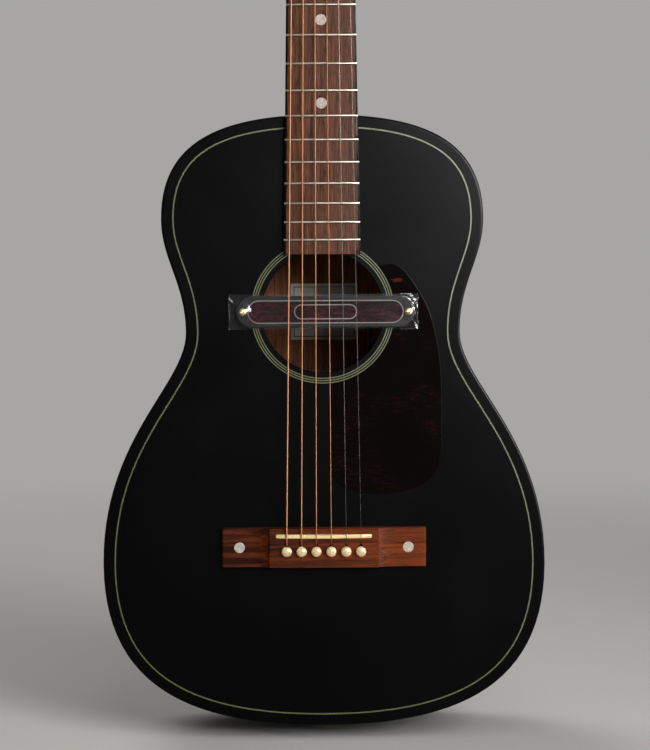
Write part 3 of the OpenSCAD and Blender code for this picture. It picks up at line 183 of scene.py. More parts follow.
class GuitarFittingSizes(bpy.types.PropertyGroup):
    """Sizes of the fittings that are modelled by hand."""

    film_length: size("Film length", "Length of the clear film on the pickup", 138 * MM)
    film_width: size("Film width", "Width of the clear film on the pickup", 26 * MM)
    film_wall: size("Film wall", "Thickness of the clear film", 0.08 * MM)
    film_offset: size("Film offset", "Middle of the film from the middle line", 0.7 * MM)
    film_gap: size("Film gap", "Air between the film and the bar", 0.3 * MM)
    film_rise: size("Film rise", "Height of the film over a screw", 2.0 * MM)
    film_hang: size("Film hang", "How far the film falls past the rim of the bar", 1.8 * MM)
    film_fall: size("Film fall", "Distance from the rim in which the film falls", 2.0 * MM)
    crease_width: size("Crease width", "Half the width of a crease in the film", 0.6 * MM)
    crease_start: size("Crease start", "Distance from a screw in which a crease rises", 4 * MM)
    field_length: size("Field length", "Length of the field inside the pickup's border", 114 * MM)
    field_width: size("Field width", "Width of the field inside the pickup's border", 17 * MM)
    panel_length: size("Panel length", "Length of the plain panel on the pickup", 46 * MM)
    panel_width: size("Panel width", "Width of the plain panel on the pickup", 11 * MM)
    line_width: size("Pickup line", "Width of the silver lines on the pickup", 0.8 * MM)
    cover_round: size("Pickup round", "Rounding of the pickup's rim", 0.9 * MM)
    screw_pitch: size("Screw pitch", "Distance between the two pickup screws", 121 * MM)
    screw_radius: size("Screw radius", "Radius of a pickup screw's head", 2.6 * MM)
    binding: size("Binding", "Width of the black binding of the fingerboard", 1.5 * MM)
    board_radius: size("Board radius", "Radius of the crowned fingerboard", 305 * MM)
    nut_width: size("Nut width", "Width of the fingerboard at the nut", 42.9 * MM)
    label_border: size("Label border", "Distance of the label's line from its edge", 2.4 * MM)
    label_line: size("Label line", "Width of the label's line", 0.6 * MM)
    saddle_end: size("Saddle end", "Rounding of the saddle's two ends", 1.25 * MM)
    saddle_crown: size("Saddle crown", "Rounding of the saddle's upper edges", 0.6 * MM)
    guard_bevel: size("Guard bevel", "Bevel of the pickguard's edge", 0.8 * MM)
    head_edge: size("Headstock edge", "Rounding of the headstock's edges", 1.2 * MM)
    bridge_edge: size("Bridge edge", "Rounding of the bridge's edges", 0.7 * MM)


class GuitarColours(bpy.types.PropertyGroup):
    """Colours of the finishes."""

    lacquer: colour("Lacquer", "Satin lacquer of body and neck", "#020102")
    lacquer_worn: colour("Lacquer, rubbed", "Rubbed clouds in the lacquer", "#040304")
    walnut_dark: colour("Walnut, dark", "Dark bands of the fingerboard", "#3a231a")
    walnut_light: colour("Walnut, light", "Light bands of the fingerboard", "#804f38")
    bridge_dark: colour("Bridge, dark", "Dark bands of the bridge", "#2c0d04")
    bridge_light: colour("Bridge, light", "Light bands of the bridge", "#843a10")
    inside_dark: colour("Inside, dark", "Dark bands of the bare wood inside", "#74442a")
    inside_light: colour("Inside, light", "Light bands of the bare wood inside", "#b4744a")
    spruce_dark: colour("Spruce, dark", "Dark bands of the braces", "#af9870")
    spruce_light: colour("Spruce, light", "Light bands of the braces", "#d9bd8c")
    line: colour("Inlaid line", "Purfling and rosette", "#565c28")
    tortoise_dark: colour("Tortoise, dark", "Ground of the tortoise plastic", "#080303")
    tortoise_light: colour("Tortoise, light", "Streaks in the tortoise plastic", "#5a2410")
    field_dark: colour("Pickup, dark", "Ground of the red plastic on the pickup", "#1c0609")
    field_light: colour("Pickup, light", "Clouds in the red plastic on the pickup", "#5c1420")
    bone: colour("Bone", "Nut and bridge pins", "#f2d29c")
    saddle: colour("Saddle", "Yellowed bone of the saddle", "#fce4a0")
    pearl_dark: colour("Pearl, dark", "Dark layers of the position dots", "#b9b2b0")
    pearl: colour("Pearl", "Middle tone of the position dots", "#c6b6a6")
    pearl_light: colour("Pearl, light", "Light layers of the position dots", "#eee6dc")
    nickel: colour("Nickel", "Tuner plates, posts and jack", "#c9c4b9")
    brass: colour("Brass", "Gears and screws", "#b09a70")
    fret: colour("Fret wire", "Nickel silver of the frets", "#91887a")
    silver: colour("Silver line", "Painted lines on the pickup", "#8d8a88")
    ink: colour("Ink", "Line printed on the label", "#3c3a38")
    steel: colour("Steel", "Plain strings and the rod", "#4c4643")
    bronze: colour("Bronze", "Wound strings", "#765239")
    black_plastic: colour("Black plastic", "Pickup case and rod cover", "#141313")
    copper: colour("Copper", "Wire of the pickup coil", "#b5683a")
    paper: colour("Paper", "Label inside the body", "#ebe7de")
    button: colour("Buttons", "Tuner buttons", "#ece4cc")
    film_dark: colour("Film, dark", "Clear parts of the film", "#0e0e10")
    film_light: colour("Film, light", "Hazy parts of the film", "#1c1c1f")
    floor: colour("Floor", "Studio floor", "#cfcdca")
    room: colour("Room", "Studio background", "#c4c3c1")


def wire(tree, node, inputs):
    """Fills the inputs of a node; each is a value, or a socket to link."""
    for key, value in inputs.items():
        if isinstance(value, bpy.types.NodeSocket):
            tree.links.new(value, node.inputs[key])
        else:
            node.inputs[key].default_value = value


def add(tree, kind, output, inputs=None, stops=(), **settings):
    """An output of a new shader node with its settings, its inputs and the stops of its ramp."""
    made = tree.nodes.new("ShaderNode" + kind)
    for key, value in settings.items():
        setattr(made, key, value)
    for i, (place, tone) in enumerate(stops):
        ramp = made.color_ramp.elements
        stop = ramp[i] if i < len(ramp) else ramp.new(place)
        stop.position = place
        stop.color = tone
    wire(tree, made, inputs or {})
    return made.outputs[output]


def per_metre(*spacing_mm):
    """Pattern scale along x, y and z from real spacings in millimetres."""
    return tuple(1 / (s * MM) for s in spacing_mm)


def shaded(tone, share):
    """A colour at a share of its brightness."""
    return [min(1.0, c * share) for c in tone[:3]] + [1.0]


def satin_lacquer(tree, spot, tone, worn):
    """Opaque nitrocellulose lacquer, rubbed out to a satin."""
    # Rubbing leaves 60 mm clouds of slightly different gloss
    cloud = add(tree, "TexNoise", "Fac", {"Vector": spot, "Scale": 1 / (60 * MM), "Detail": 4.0})
    gloss = {"Value": cloud, **NOISE_RANGE, "To Min": 0.28, "To Max": 0.34}
    # Grain lines of the wood 1.4 mm apart sink very slightly through the film
    lines = add(tree, "Mapping", "Vector", {"Vector": spot, "Scale": per_metre(1.4, 1.4, 60)})
    grain = add(tree, "TexNoise", "Fac", {"Vector": lines, "Scale": 1.0, "Detail": 3.0})
    sunk = {"Strength": 0.06, "Distance": 0.05 * MM, "Height": grain}
    # The sprayed film has a 0.7 mm orange peel
    peel = add(tree, "TexNoise", "Fac", {"Vector": spot, "Scale": 1 / (0.7 * MM), "Detail": 2.0})
    sprayed = {
        "Strength": 0.05,
        "Distance": 0.03 * MM,
        "Height": peel,
        "Normal": add(tree, "Bump", "Normal", sunk),
    }
    mixed = {"Factor": cloud, "A": tone, "B": worn}
    return {
        "Base Color": add(tree, "Mix", "Result", mixed, data_type="RGBA"),
        "Roughness": add(tree, "MapRange", "Result", gloss),
        "Normal": add(tree, "Bump", "Normal", sprayed),
        "IOR": 1.48,
        "Specular IOR Level": 0.055,
    }


def grained_wood(tree, spot, dark, light, along, bands_mm, pores, gloss, lean=0.0, shine=0.05):
    """Sawn wood with growth bands and open pores.

    The grain runs along one axis, and painted light may make the wood lighter along x, as if lit from that
    side.
    """
    stretch = [bands_mm] * 3
    fine = [0.7] * 3
    stretch[along] = bands_mm * 26
    fine[along] = 9.0
    # Growth bands wander along the grain
    bands_at = add(tree, "Mapping", "Vector", {"Vector": spot, "Scale": per_metre(*stretch)})
    wander = {"Vector": bands_at, "Scale": 1.0, "Detail": 5.0, "Roughness": 0.62, "Distortion": 0.6}
    bands = add(tree, "TexNoise", "Fac", wander)
    # Painted light: the colour moves towards its light end along x, as light falling from one side would
    side = add(tree, "SeparateXYZ", "X", {"Vector": spot})
    bands_and_side_light = add(tree, "Math", "Value", {0: side, 1: lean, 2: bands}, operation="MULTIPLY_ADD")
    tones = ((0.3, dark), (0.72, light))
    shade = add(tree, "ValToRGB", "Color", {"Fac": bands_and_side_light}, tones)
    # Real pores are 0.3 mm wide; they are drawn 0.7 mm wide and 9 mm long so that they show
    pores_at = add(tree, "Mapping", "Vector", {"Vector": spot, "Scale": per_metre(*fine)})
    pore = add(tree, "TexNoise", "Fac", {"Vector": pores_at, "Scale": 1.0, "Detail": 2.0})
    depth = {"Value": pore, "From Min": 0.5, "From Max": 0.66, "To Min": 0.0, "To Max": pores}
    open_pore = add(tree, "MapRange", "Result", depth)
    filled = {"Factor": open_pore, "A": shade, "B": shaded(dark, 0.3)}
    rough = {"Value": bands, **NOISE_RANGE, "To Min": gloss, "To Max": gloss + 0.12}
    sunk = {"Strength": 0.35, "Distance": 0.12 * MM, "Height": open_pore}
    return {
        "Base Color": add(tree, "Mix", "Result", filled, data_type="RGBA"),
        "Roughness": add(tree, "MapRange", "Result", rough),
        "Normal": add(tree, "Bump", "Normal", sunk, invert=True),
        "IOR": 1.5,
        "Specular IOR Level": shine,
    }


def tortoise_plastic(tree, spot, dark, light, least, most):
    """Celluloid sheet with a least and most share of lighter streaks under a polished face."""
    # Clouds 30 mm across gather the streaks
    cloud = add(tree, "TexNoise", "Fac", {"Vector": spot, "Scale": 1 / (30 * MM), "Detail": 3.0})
    gathered = {"Value": cloud, "From Min": 0.45, "From Max": 0.75, "To Min": least, "To Max": most}
    patch = add(tree, "MapRange", "Result", gathered)
    # Streaks are 7 mm long, 1.6 mm high and lie across the sheet
    across = add(tree, "Mapping", "Vector", {"Vector": spot, "Scale": per_metre(7.0, 7.0, 1.6)})
    torn = {"Vector": across, "Scale": 1.0, "Detail": 4.0, "Roughness": 0.6, "Distortion": 0.6}
    streak = add(tree, "TexNoise", "Fac", torn)
    fleck = add(tree, "MapRange", "Result", {"Value": streak, "From Min": 0.48, "From Max": 0.72})
    few = add(tree, "Math", "Value", {0: patch, 1: fleck}, operation="MULTIPLY")
    # One torn fleck 9 mm wide near the upper tip of the guard holds most of the amber
    fleck_size = per_metre(4.6, 20.0, 2.2)
    shift = [-a * b for a, b in zip(AMBER, fleck_size)]
    placed = {"Vector": spot, "Scale": fleck_size, "Location": shift}
    near = add(tree, "Mapping", "Vector", placed)
    reach = add(tree, "VectorMath", "Value", {0: near}, operation="LENGTH")
    edge = add(tree, "Math", "Value", {0: streak, 1: -3.0, 2: reach}, operation="MULTIPLY_ADD")
    amber = {"Value": edge, "From Min": -1.5, "From Max": -0.6, "To Min": 0.9, "To Max": 0.0}
    large = add(tree, "MapRange", "Result", amber)
    share = add(tree, "Math", "Value", {0: few, 1: large}, operation="MAXIMUM")
    # A fine 2.5 mm ripple is left by the polishing wheel
    ripple = add(tree, "TexNoise", "Fac", {"Vector": spot, "Scale": 1 / (2.5 * MM), "Detail": 2.0})
    polished = {"Strength": 0.06, "Distance": 0.05 * MM, "Height": ripple}
    rough = {"Value": cloud, **NOISE_RANGE, "To Min": 0.12, "To Max": 0.18}
    tones = ((0.02, dark), (0.7, light))
    return {
        "Base Color": add(tree, "ValToRGB", "Color", {"Fac": share}, tones),
        "Roughness": add(tree, "MapRange", "Result", rough),
        "Normal": add(tree, "Bump", "Normal", polished),
        "IOR": 1.5,
        "Specular IOR Level": 0.06,
    }


def moulded(tree, spot, tone, spread, cloud_mm, gloss, ior, bump_mm=0.02):
    """Polished bone, moulded plastic, paper or rubber: a soft mottle and a 0.6 mm grit."""
    mottle = {"Vector": spot, "Scale": 1 / (cloud_mm * MM), "Detail": 5.0}
    cloud = add(tree, "TexNoise", "Fac", mottle)
    tones = ((0.3, shaded(tone, 1 - spread)), (0.7, shaded(tone, 1 + spread)))
    grit = add(tree, "TexNoise", "Fac", {"Vector": spot, "Scale": 1 / (0.6 * MM), "Detail": 3.0})
    rough = {"Value": grit, **NOISE_RANGE, "To Min": gloss, "To Max": gloss + 0.1}
    gritty = {"Strength": 0.2, "Distance": bump_mm * MM, "Height": grit}
    return {
        "Base Color": add(tree, "ValToRGB", "Color", {"Fac": cloud}, tones),
        "Roughness": add(tree, "MapRange", "Result", rough),
        "Normal": add(tree, "Bump", "Normal", gritty),
        "IOR": ior,
    }


def worked_metal(tree, spot, tone, gloss, wrap_mm=0.0, painted_foot_shade=False):
    """Plated or drawn metal with handling marks.

    wrap_mm is the pitch of a wound wire, and painted_foot_shade says that the wire is set in the crowned
    fingerboard, with a painted shade along its foot.
    """
    # Fingers and wear leave 5 mm smudges
    smudge = add(tree, "TexNoise", "Fac", {"Vector": spot, "Scale": 1 / (5 * MM), "Detail": 5.0})
    rough = {"Value": smudge, **NOISE_RANGE, "To Min": gloss, "To Max": gloss + 0.14}
    dulled = {"Factor": smudge, "A": shaded(tone, 0.8), "B": tone}
    shade = add(tree, "Mix", "Result", dulled, data_type="RGBA")
    if painted_foot_shade:
        # Painted shade darkens the lowest 0.6 mm to a tenth, where the wire meets the wood, standing for
        # the shadow beneath the fret
        radius = bpy.context.scene.guitar_fittings.board_radius
        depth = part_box("fingerboard")[0][1] + radius
        centred = {"Vector": spot, "Location": (0, -depth, 0), "Scale": (1, 1, 0)}
        axis = add(tree, "Mapping", "Vector", centred)
        reach = add(tree, "VectorMath", "Value", {0: axis}, operation="LENGTH")
        crown = {"Value": reach, "From Min": radius + 0.6 * MM, "From Max": radius + 0.9 * MM}
        clean = add(tree, "MapRange", "Result", crown)
        foot_shade_mix = {"Factor": clean, "A": shaded(tone, 0.1), "B": shade}
        shade = add(tree, "Mix", "Result", foot_shade_mix, data_type="RGBA")
    inputs = {
        "Base Color": shade,
        "Roughness": add(tree, "MapRange", "Result", rough),
        "Metallic": 1.0,
    }
    if wrap_mm:
        # Each turn of the wrap wire is a ridge across the string; at scale 1 a ridge is pi / 10 long
        turns = {"Vector": spot, "Scale": math.pi / (10 * wrap_mm * MM), "Distortion": 0.0}
        ridge = add(tree, "TexWave", "Fac", turns, bands_direction="Z")
        wound = {"Strength": 0.5, "Distance": 0.1 * MM, "Height": ridge}
        inputs["Normal"] = add(tree, "Bump", "Normal", wound)
    return inputs


def pearl_shell(tree, spot, dark, middle, light):
    """Polished mother of pearl in grey, pink and cream layers."""
    # Layers of the shell show as 2 mm wandering bands
    bands = {"Vector": spot, "Scale": 1 / (2.2 * MM), "Detail": 4.0, "Distortion": 2.0}
    layer = add(tree, "TexNoise", "Fac", bands)
    tones = ((0.32, dark), (0.7, light), (0.5, middle))
    polished = {"Strength": 0.05, "Distance": 0.05 * MM, "Height": layer}
    return {
        "Base Color": add(tree, "ValToRGB", "Color", {"Fac": layer}, tones),
        "Roughness": 0.22,
        "Normal": add(tree, "Bump", "Normal", polished),
        "IOR": 1.6,
        "Coat Weight": 0.4,
    }


def clear_film(tree, spot, dark, light):
    """Thin clear polypropylene, left on the pickup since it was packed."""
    # Handling leaves 12 mm patches of faint haze
    haze = add(tree, "TexNoise", "Fac", {"Vector": spot, "Scale": 1 / (12 * MM), "Detail": 1.0})
    rough = {"Value": haze, **NOISE_RANGE, "To Min": 0.16, "To Max": 0.22}
    mixed = {"Factor": haze, "A": dark, "B": light}
    # Nearly all of it is seen through, which thins its gloss too, so a high index brings the gloss back
    return {
        "Base Color": add(tree, "Mix", "Result", mixed, data_type="RGBA"),
        "Roughness": add(tree, "MapRange", "Result", rough),
        "IOR": 2.2,
        "Specular IOR Level": 1.0,
        "Alpha": 0.05,
    }


def room_light(tree):
    """Strength of the room: brighter where it is seen, mirrored or looked through."""
    seen = add(tree, "LightPath", "Is Camera Ray")
    rays = seen.node.outputs
    for kind in ("Is Glossy Ray", "Is Transmission Ray"):
        seen = add(tree, "Math", "Value", {0: seen, 1: rays[kind]}, operation="MAXIMUM")
    return add(tree, "MapRange", "Result", {"Value": seen, "To Min": 0.1, "To Max": 0.7})


def painted_floor(tree, spot, tone, room):
    """Matt painted boards that fade into the room between 0.35 and 1.6 m from the guitar."""
    inputs = moulded(tree, spot, tone, spread=0.02, cloud_mm=400.0, gloss=0.6, ior=1.4)
    reach = add(tree, "VectorMath", "Value", {0: spot}, operation="LENGTH")
    fade = {"Value": reach, "From Min": 0.35, "From Max": 1.6}
    far = add(tree, "MapRange", "Result", fade, interpolation_type="SMOOTHSTEP")
    paint = tree.nodes["Principled BSDF"].outputs["BSDF"]
    glow = add(tree, "Emission", "Emission", {"Color": room, "Strength": room_light(tree)})
    faded = add(tree, "MixShader", "Shader", {"Fac": far, 1: paint, 2: glow})
    wire(tree, tree.nodes["Material Output"], {"Surface": faded})
    return {**inputs, "Specular IOR Level": 0.0}


# Each finish with its maker, its colours and its values
FINISHES = {
    # Deep black with a soft, faintly clouded sheen
    "satin_black_lacquer": (satin_lacquer, ("lacquer", "lacquer_worn"), {}),
    # Warm red-brown, matt, with long open pores
    "bare_mahogany": (
        grained_wood,
        ("inside_dark", "inside_light"),
        {"along": 2, "bands_mm": 3.0, "pores": 0.5, "gloss": 0.55},
    ),
    # Pale straw with fine even lines
    "bare_spruce": (
        grained_wood,
        ("spruce_dark", "spruce_light"),
        {"along": 0, "bands_mm": 1.6, "pores": 0.15, "gloss": 0.6},
    ),
    # Oiled brown with dark streaks, with painted light that makes it redder and lighter towards the treble
    # side of the bridge
    "oiled_walnut_across": (
        grained_wood,
        ("bridge_dark", "bridge_light"),
        {"along": 0, "bands_mm": 3.4, "pores": 0.5, "gloss": 0.38, "lean": 2.0, "shine": 0.06},
    ),
    # The same wood drier and greyer, with dark pores along the strings
    "oiled_walnut_along": (
        grained_wood,
        ("walnut_dark", "walnut_light"),
        {"along": 2, "bands_mm": 2.2, "pores": 0.7, "gloss": 0.48},
    ),
    # Nearly black, with a few dark red streaks and one amber fleck deep in the gloss
    "tortoise_celluloid": (
        tortoise_plastic,
        ("tortoise_dark", "tortoise_light"),
        {"least": 0.0, "most": 0.2},
    ),
    # Wine red clouds on black
    "red_celluloid": (tortoise_plastic, ("field_dark", "field_light"), {"least": 0.6, "most": 1.0}),
    # Cream with a soft polish, and a yellower piece for the saddle
    "polished_bone": (moulded, ("bone",), {"spread": 0.06, "cloud_mm": 5.0, "gloss": 0.28, "ior": 1.54}),
    "yellowed_bone": (moulded, ("saddle",), {"spread": 0.06, "cloud_mm": 5.0, "gloss": 0.28, "ior": 1.54}),
    # Off-white, quite matt, with a dull dark line
    "laid_paper": (moulded, ("paper",), {"spread": 0.05, "cloud_mm": 6.0, "gloss": 0.7, "ior": 1.45}),
    "printed_ink": (moulded, ("ink",), {"spread": 0.1, "cloud_mm": 3.0, "gloss": 0.6, "ior": 1.45}),
    # Aged to a greenish cream under the lacquer
    "cream_fibre_line": (moulded, ("line",), {"spread": 0.12, "cloud_mm": 8.0, "gloss": 0.35, "ior": 1.5}),
    # Dark grey with a low even shine, and a duller one for the lead's jacket
    "moulded_black_plastic": (
        moulded,
        ("black_plastic",),
        {"spread": 0.1, "cloud_mm": 10.0, "gloss": 0.3, "ior": 1.25, "bump_mm": 0.005},
    ),
    "black_rubber": (
        moulded,
        ("black_plastic",),
        {"spread": 0.1, "cloud_mm": 10.0, "gloss": 0.5, "ior": 1.5},
    ),
    # Glossy cream
    "moulded_cream_plastic": (
        moulded,
        ("button",),
        {"spread": 0.05, "cloud_mm": 7.0, "gloss": 0.2, "ior": 1.5},
    ),
    # A thin grey line with little sparkle
    "silver_paint": (moulded, ("silver",), {"spread": 0.06, "cloud_mm": 4.0, "gloss": 0.3, "ior": 1.5}),
    # Bright, warm white metal with smudges
    "nickel_plate": (worked_metal, ("nickel",), {"gloss": 0.2}),
    # Dull yellow
    "drawn_brass": (worked_metal, ("brass",), {"gloss": 0.26}),
    # Grey, in a rod and in a finer drawn string
    "bright_steel": (worked_metal, ("steel",), {"gloss": 0.3}),
    "plain_steel": (worked_metal, ("steel",), {"gloss": 0.24}),
    # Copper brown, spread to an even glow by the ridges of the wrap
    "wound_bronze": (worked_metal, ("bronze",), {"gloss": 0.44, "wrap_mm": 0.5}),
    # A bright line on the crown, with painted shade where it meets the wood
    "nickel_silver_wire": (worked_metal, ("fret",), {"gloss": 0.3, "painted_foot_shade": True}),
    # Orange brown
    "copper_wire": (worked_metal, ("copper",), {"gloss": 0.3}),
    # Milky, with pale wandering bands
    "mother_of_pearl": (pearl_shell, ("pearl_dark", "pearl", "pearl_light"), {}),
    # Clear, with white glints on its creases
    "clear_polypropylene_film": (clear_film, ("film_dark", "film_light"), {}),
    # Pale grey and quite matt
    "painted_floor": (painted_floor, ("floor", "room"), {}),
}


def finish(name):
    """The material of that name, made when it is first asked for."""
    material = bpy.data.materials.get(name)
    if not material:
        material = bpy.data.materials.new(name)
        material.use_nodes = True
        tree = material.node_tree
        spot = add(tree, "TexCoord", "Object")
        maker, tones, values = FINISHES[name]
        colours = [getattr(bpy.context.scene.guitar_colours, tone) for tone in tones]
        wire(tree, tree.nodes["Principled BSDF"], maker(tree, spot, *colours, **values))
    return material


def deselect():
    """Leaves nothing selected, in object mode."""
    if bpy.context.mode != "OBJECT":
        bpy.ops.object.mode_set(mode="OBJECT")
    bpy.ops.object.select_all(action="DESELECT")


def only(piece):
    """Makes one piece the selected and active object."""
    deselect()
    piece.select_set(True)
    bpy.context.view_layer.objects.active = piece


def edit(piece, kind="VERT"):
    """Opens a piece in edit mode with everything selected."""
    only(piece)
    bpy.ops.object.mode_set(mode="EDIT")
    bpy.ops.mesh.select_mode(type=kind)
    bpy.ops.mesh.select_all(action="SELECT")


def pick(piece, kind, test):
    """Opens a piece in edit mode with only the parts of one kind selected that pass a test.

    A face is tested itself, and a vertex or both ends of an edge by their place.
    """
    edit(piece, kind)
    bpy.ops.mesh.select_all(action="DESELECT")
    bpy.ops.object.mode_set(mode="OBJECT")
    mesh = piece.data
    if kind == "FACE":
        for face in mesh.polygons:
            face.select = test(face)
    elif kind == "EDGE":
        for line in mesh.edges:
            line.select = all(test(mesh.vertices[i].co) for i in line.vertices)
    else:
        for vertex in mesh.vertices:
            vertex.select = test(vertex.co)
    bpy.ops.object.mode_set(mode="EDIT")


def named(piece, name):
    """Names an object and its mesh."""
    piece.name = name
    piece.data.name = name
    return piece


def modify(piece, kind, **settings):
    """Adds a modifier with its settings and applies it."""
    only(piece)
    bpy.ops.object.modifier_add(type=kind)
    made = piece.modifiers[-1]
    for key, value in settings.items():
        setattr(made, key, value)
    bpy.ops.object.modifier_apply(modifier=made.name)


def smooth(piece, angle=32.0):
    """Shades a piece smooth, with sharp edges over an angle and flat faces kept flat."""
    only(piece)
    bpy.ops.object.shade_smooth_by_angle(angle=math.radians(angle))
    modify(piece, "WEIGHTED_NORMAL", keep_sharp=True, weight=80)


def merged_copy(name, node):
    """A copy of a solid with its loose triangles joined."""
    deselect()
    piece = bpy.data.objects.new(name, frame["nodes"][node].data.copy())
    bpy.context.scene.collection.objects.link(piece)
    piece.data.materials.clear()
    edit(piece)
    bpy.ops.mesh.remove_doubles(threshold=WELD)
    bpy.ops.object.mode_set(mode="OBJECT")
    return named(piece, name)


def clean_copy(name, node):
    """A merged copy of a solid with its flat faces made whole."""
    piece = merged_copy(name, node)
    edit(piece)
    bpy.ops.mesh.dissolve_limited(angle_limit=FLAT)
    bpy.ops.object.mode_set(mode="OBJECT")
    return piece


def eased_copy(name, width, node, segments=2, angle=35.0):
    """A clean copy of a solid with its sharp edges rounded."""
    piece = clean_copy(name, node)
    modify(
        piece,
        "BEVEL",
        width=width,
        segments=segments,
        limit_method="ANGLE",
        angle_limit=math.radians(angle),
        use_clamp_overlap=True,
        miter_outer="MITER_ARC",
    )
    smooth(piece, angle)
    return piece


def round_copy(name, node):
    """A merged copy of a thin round solid, made rounder."""
    piece = merged_copy(name, node)
    modify(piece, "SUBSURF", levels=1, render_levels=1)
    only(piece)
    bpy.ops.object.shade_smooth()
    return piece


def settle(piece, surface, slot, *nodes, body="guitar"):
    """Gives a piece its finish, its body and the solids that it stands for; slot is not used."""
    piece.data.materials.clear()
    piece.data.materials.append(finish(surface))
    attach(piece, body)
    if nodes:
        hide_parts(*nodes)
    deselect()


def paint_faces(piece, surface, test):
    """Gives the faces of a settled piece that pass a test a finish of their own."""
    slots = piece.data.materials
    slots.append(finish(surface))
    for face in piece.data.polygons:
        if test(face):
            face.material_index = len(slots) - 1


def paint_node(node, surface):
    """Gives a solid whose shape is right its finish."""
    slots = frame["nodes"][node].data.materials
    slots.clear()
    slots.append(finish(surface))


def outline_points(body):
    """Points of the body's outline with their handles, from the tail round the treble side.

    Each handle reaches a share of the way to the height or the width of its neighbour.
    """
    low, waist, up = body.lower_bout / 2, body.waist / 2, body.upper_bout / 2
    first = body.waist_height - body.lower_height
    second = body.upper_height - body.waist_height
    third = body.length - body.upper_height
    right = [
        ((x, z), (x, z - before), (x, z + after))
        for x, z, before, after in (
            (low, body.lower_height, 0.73 * body.lower_height, 0.552 * first),
            (waist, body.waist_height, 0.22 * first, 0.44 * second),
            (up, body.upper_height, 0.352 * second, 0.787 * third),
        )
    ]
    left = [tuple((-x, z) for x, z in (spot, after, before)) for spot, before, after in reversed(right)]
    tail = ((0, 0), (-0.64 * low, 0), (0.64 * low, 0))
    head = ((0, body.length), (0.597 * up, body.length), (-0.597 * up, body.length))
    return [tail, *right, head, *left]


def outline_sheet(name, body, y, facing):
    """A flat face with the body's outline at depth y, facing -1 to the front or 1 to the back."""
    deselect()
    bpy.ops.curve.primitive_bezier_circle_add()
    piece = bpy.context.object
    bpy.ops.object.mode_set(mode="EDIT")
    bpy.ops.curve.select_all(action="SELECT")
    bpy.ops.curve.subdivide()
    bpy.ops.object.mode_set(mode="OBJECT")
    for knot, spots in zip(piece.data.splines[0].bezier_points, outline_points(body)):
        knot.handle_left_type = knot.handle_right_type = "FREE"
        knot.co, knot.handle_left, knot.handle_right = [Vector((x, y, z + TAIL_Z)) for x, z in spots]
    piece.data.resolution_u = 26
    only(piece)
    bpy.ops.object.convert(target="MESH")
    piece = named(bpy.context.object, name)
    edit(piece)
    bpy.ops.mesh.remove_doubles(threshold=LEVEL)
    bpy.ops.mesh.edge_face_add()
    bpy.ops.object.mode_set(mode="OBJECT")
    if piece.data.polygons[0].normal.y * facing < 0:
        edit(piece, "FACE")
        bpy.ops.mesh.flip_normals()
    edit(piece, "FACE")
    return piece


def roll_edge(width, drop, land):
    """Insets the selected face so that its edge rolls over in a quarter ellipse up to a narrow land."""
    steps = 6
    for i in range(steps):
        low, high = (math.radians(90 * k / steps) for k in (i, i + 1))
        bpy.ops.mesh.inset(
            thickness=width * (math.cos(low) - math.cos(high)),
            depth=drop * (math.sin(high) - math.sin(low)),
        )
    bpy.ops.mesh.inset(thickness=land)


def close_under(piece, y):
    """Extrudes the open rim of a sheet to depth y and fills it."""
    edit(piece, "EDGE")
    bpy.ops.mesh.select_all(action="DESELECT")
    bpy.ops.mesh.select_non_manifold(
        use_wire=False, use_multi_face=False, use_non_contiguous=False, use_verts=False
    )
    bpy.ops.mesh.extrude_edges_move()
    bpy.ops.object.mode_set(mode="OBJECT")
    for vertex in piece.data.vertices:
        if vertex.select:
            vertex.co.y = y
    bpy.ops.object.mode_set(mode="EDIT")
    bpy.ops.mesh.edge_face_add()
    bpy.ops.mesh.select_all(action="SELECT")
    bpy.ops.mesh.normals_make_consistent(inside=False)
    bpy.ops.object.mode_set(mode="OBJECT")


def back_depth(body, z):
    """Distance from the front face to the outside of the back at height z."""
    share = min(1.0, max(0.0, (z - TAIL_Z) / body.length))
    taper = (body.depth_neck - body.depth_tail) * share
    return body.depth_tail + taper + 4 * body.back_arch * share * (1 - share)


class GUITAR_OT_soundboard(bpy.types.Operator):
    """Model the soundboard with its rolled edge and its sound hole"""

    bl_idname = "guitar.soundboard"
    bl_label = "Soundboard"

    def execute(self, context):
        body = context.scene.guitar_body
        piece = outline_sheet("soundboard_lacquered", body, FACE_Y + body.roll_drop, -1)
        roll_edge(body.roll_width, body.roll_drop, body.roll_land)
        close_under(piece, FACE_Y + body.top_wall)
        deselect()
        centre = Vector((0.0, FACE_Y, TAIL_Z + body.hole_height))
        bpy.ops.mesh.primitive_cylinder_add(
            vertices=160, radius=body.hole_radius, depth=20 * MM, location=centre, rotation=UPRIGHT
        )
        cutter = bpy.context.object
        modify(piece, "BOOLEAN", object=cutter, operation="DIFFERENCE", solver="EXACT")
        bpy.data.objects.remove(cutter)

        def on_lip(v):
            return abs((v - centre).xz.length - body.hole_radius) < CLOSE and abs(v.y - FACE_Y) < LEVEL

        pick(piece, "EDGE", on_lip)
        bpy.ops.mesh.bevel(offset=body.hole_lip, segments=1, affect="EDGES")
        smooth(piece, 35.0)
        settle(piece, "satin_black_lacquer", "black_satin", "soundboard")
        paint_faces(piece, "bare_mahogany", lambda f: f.normal.y > FACING)
        return {"FINISHED"}


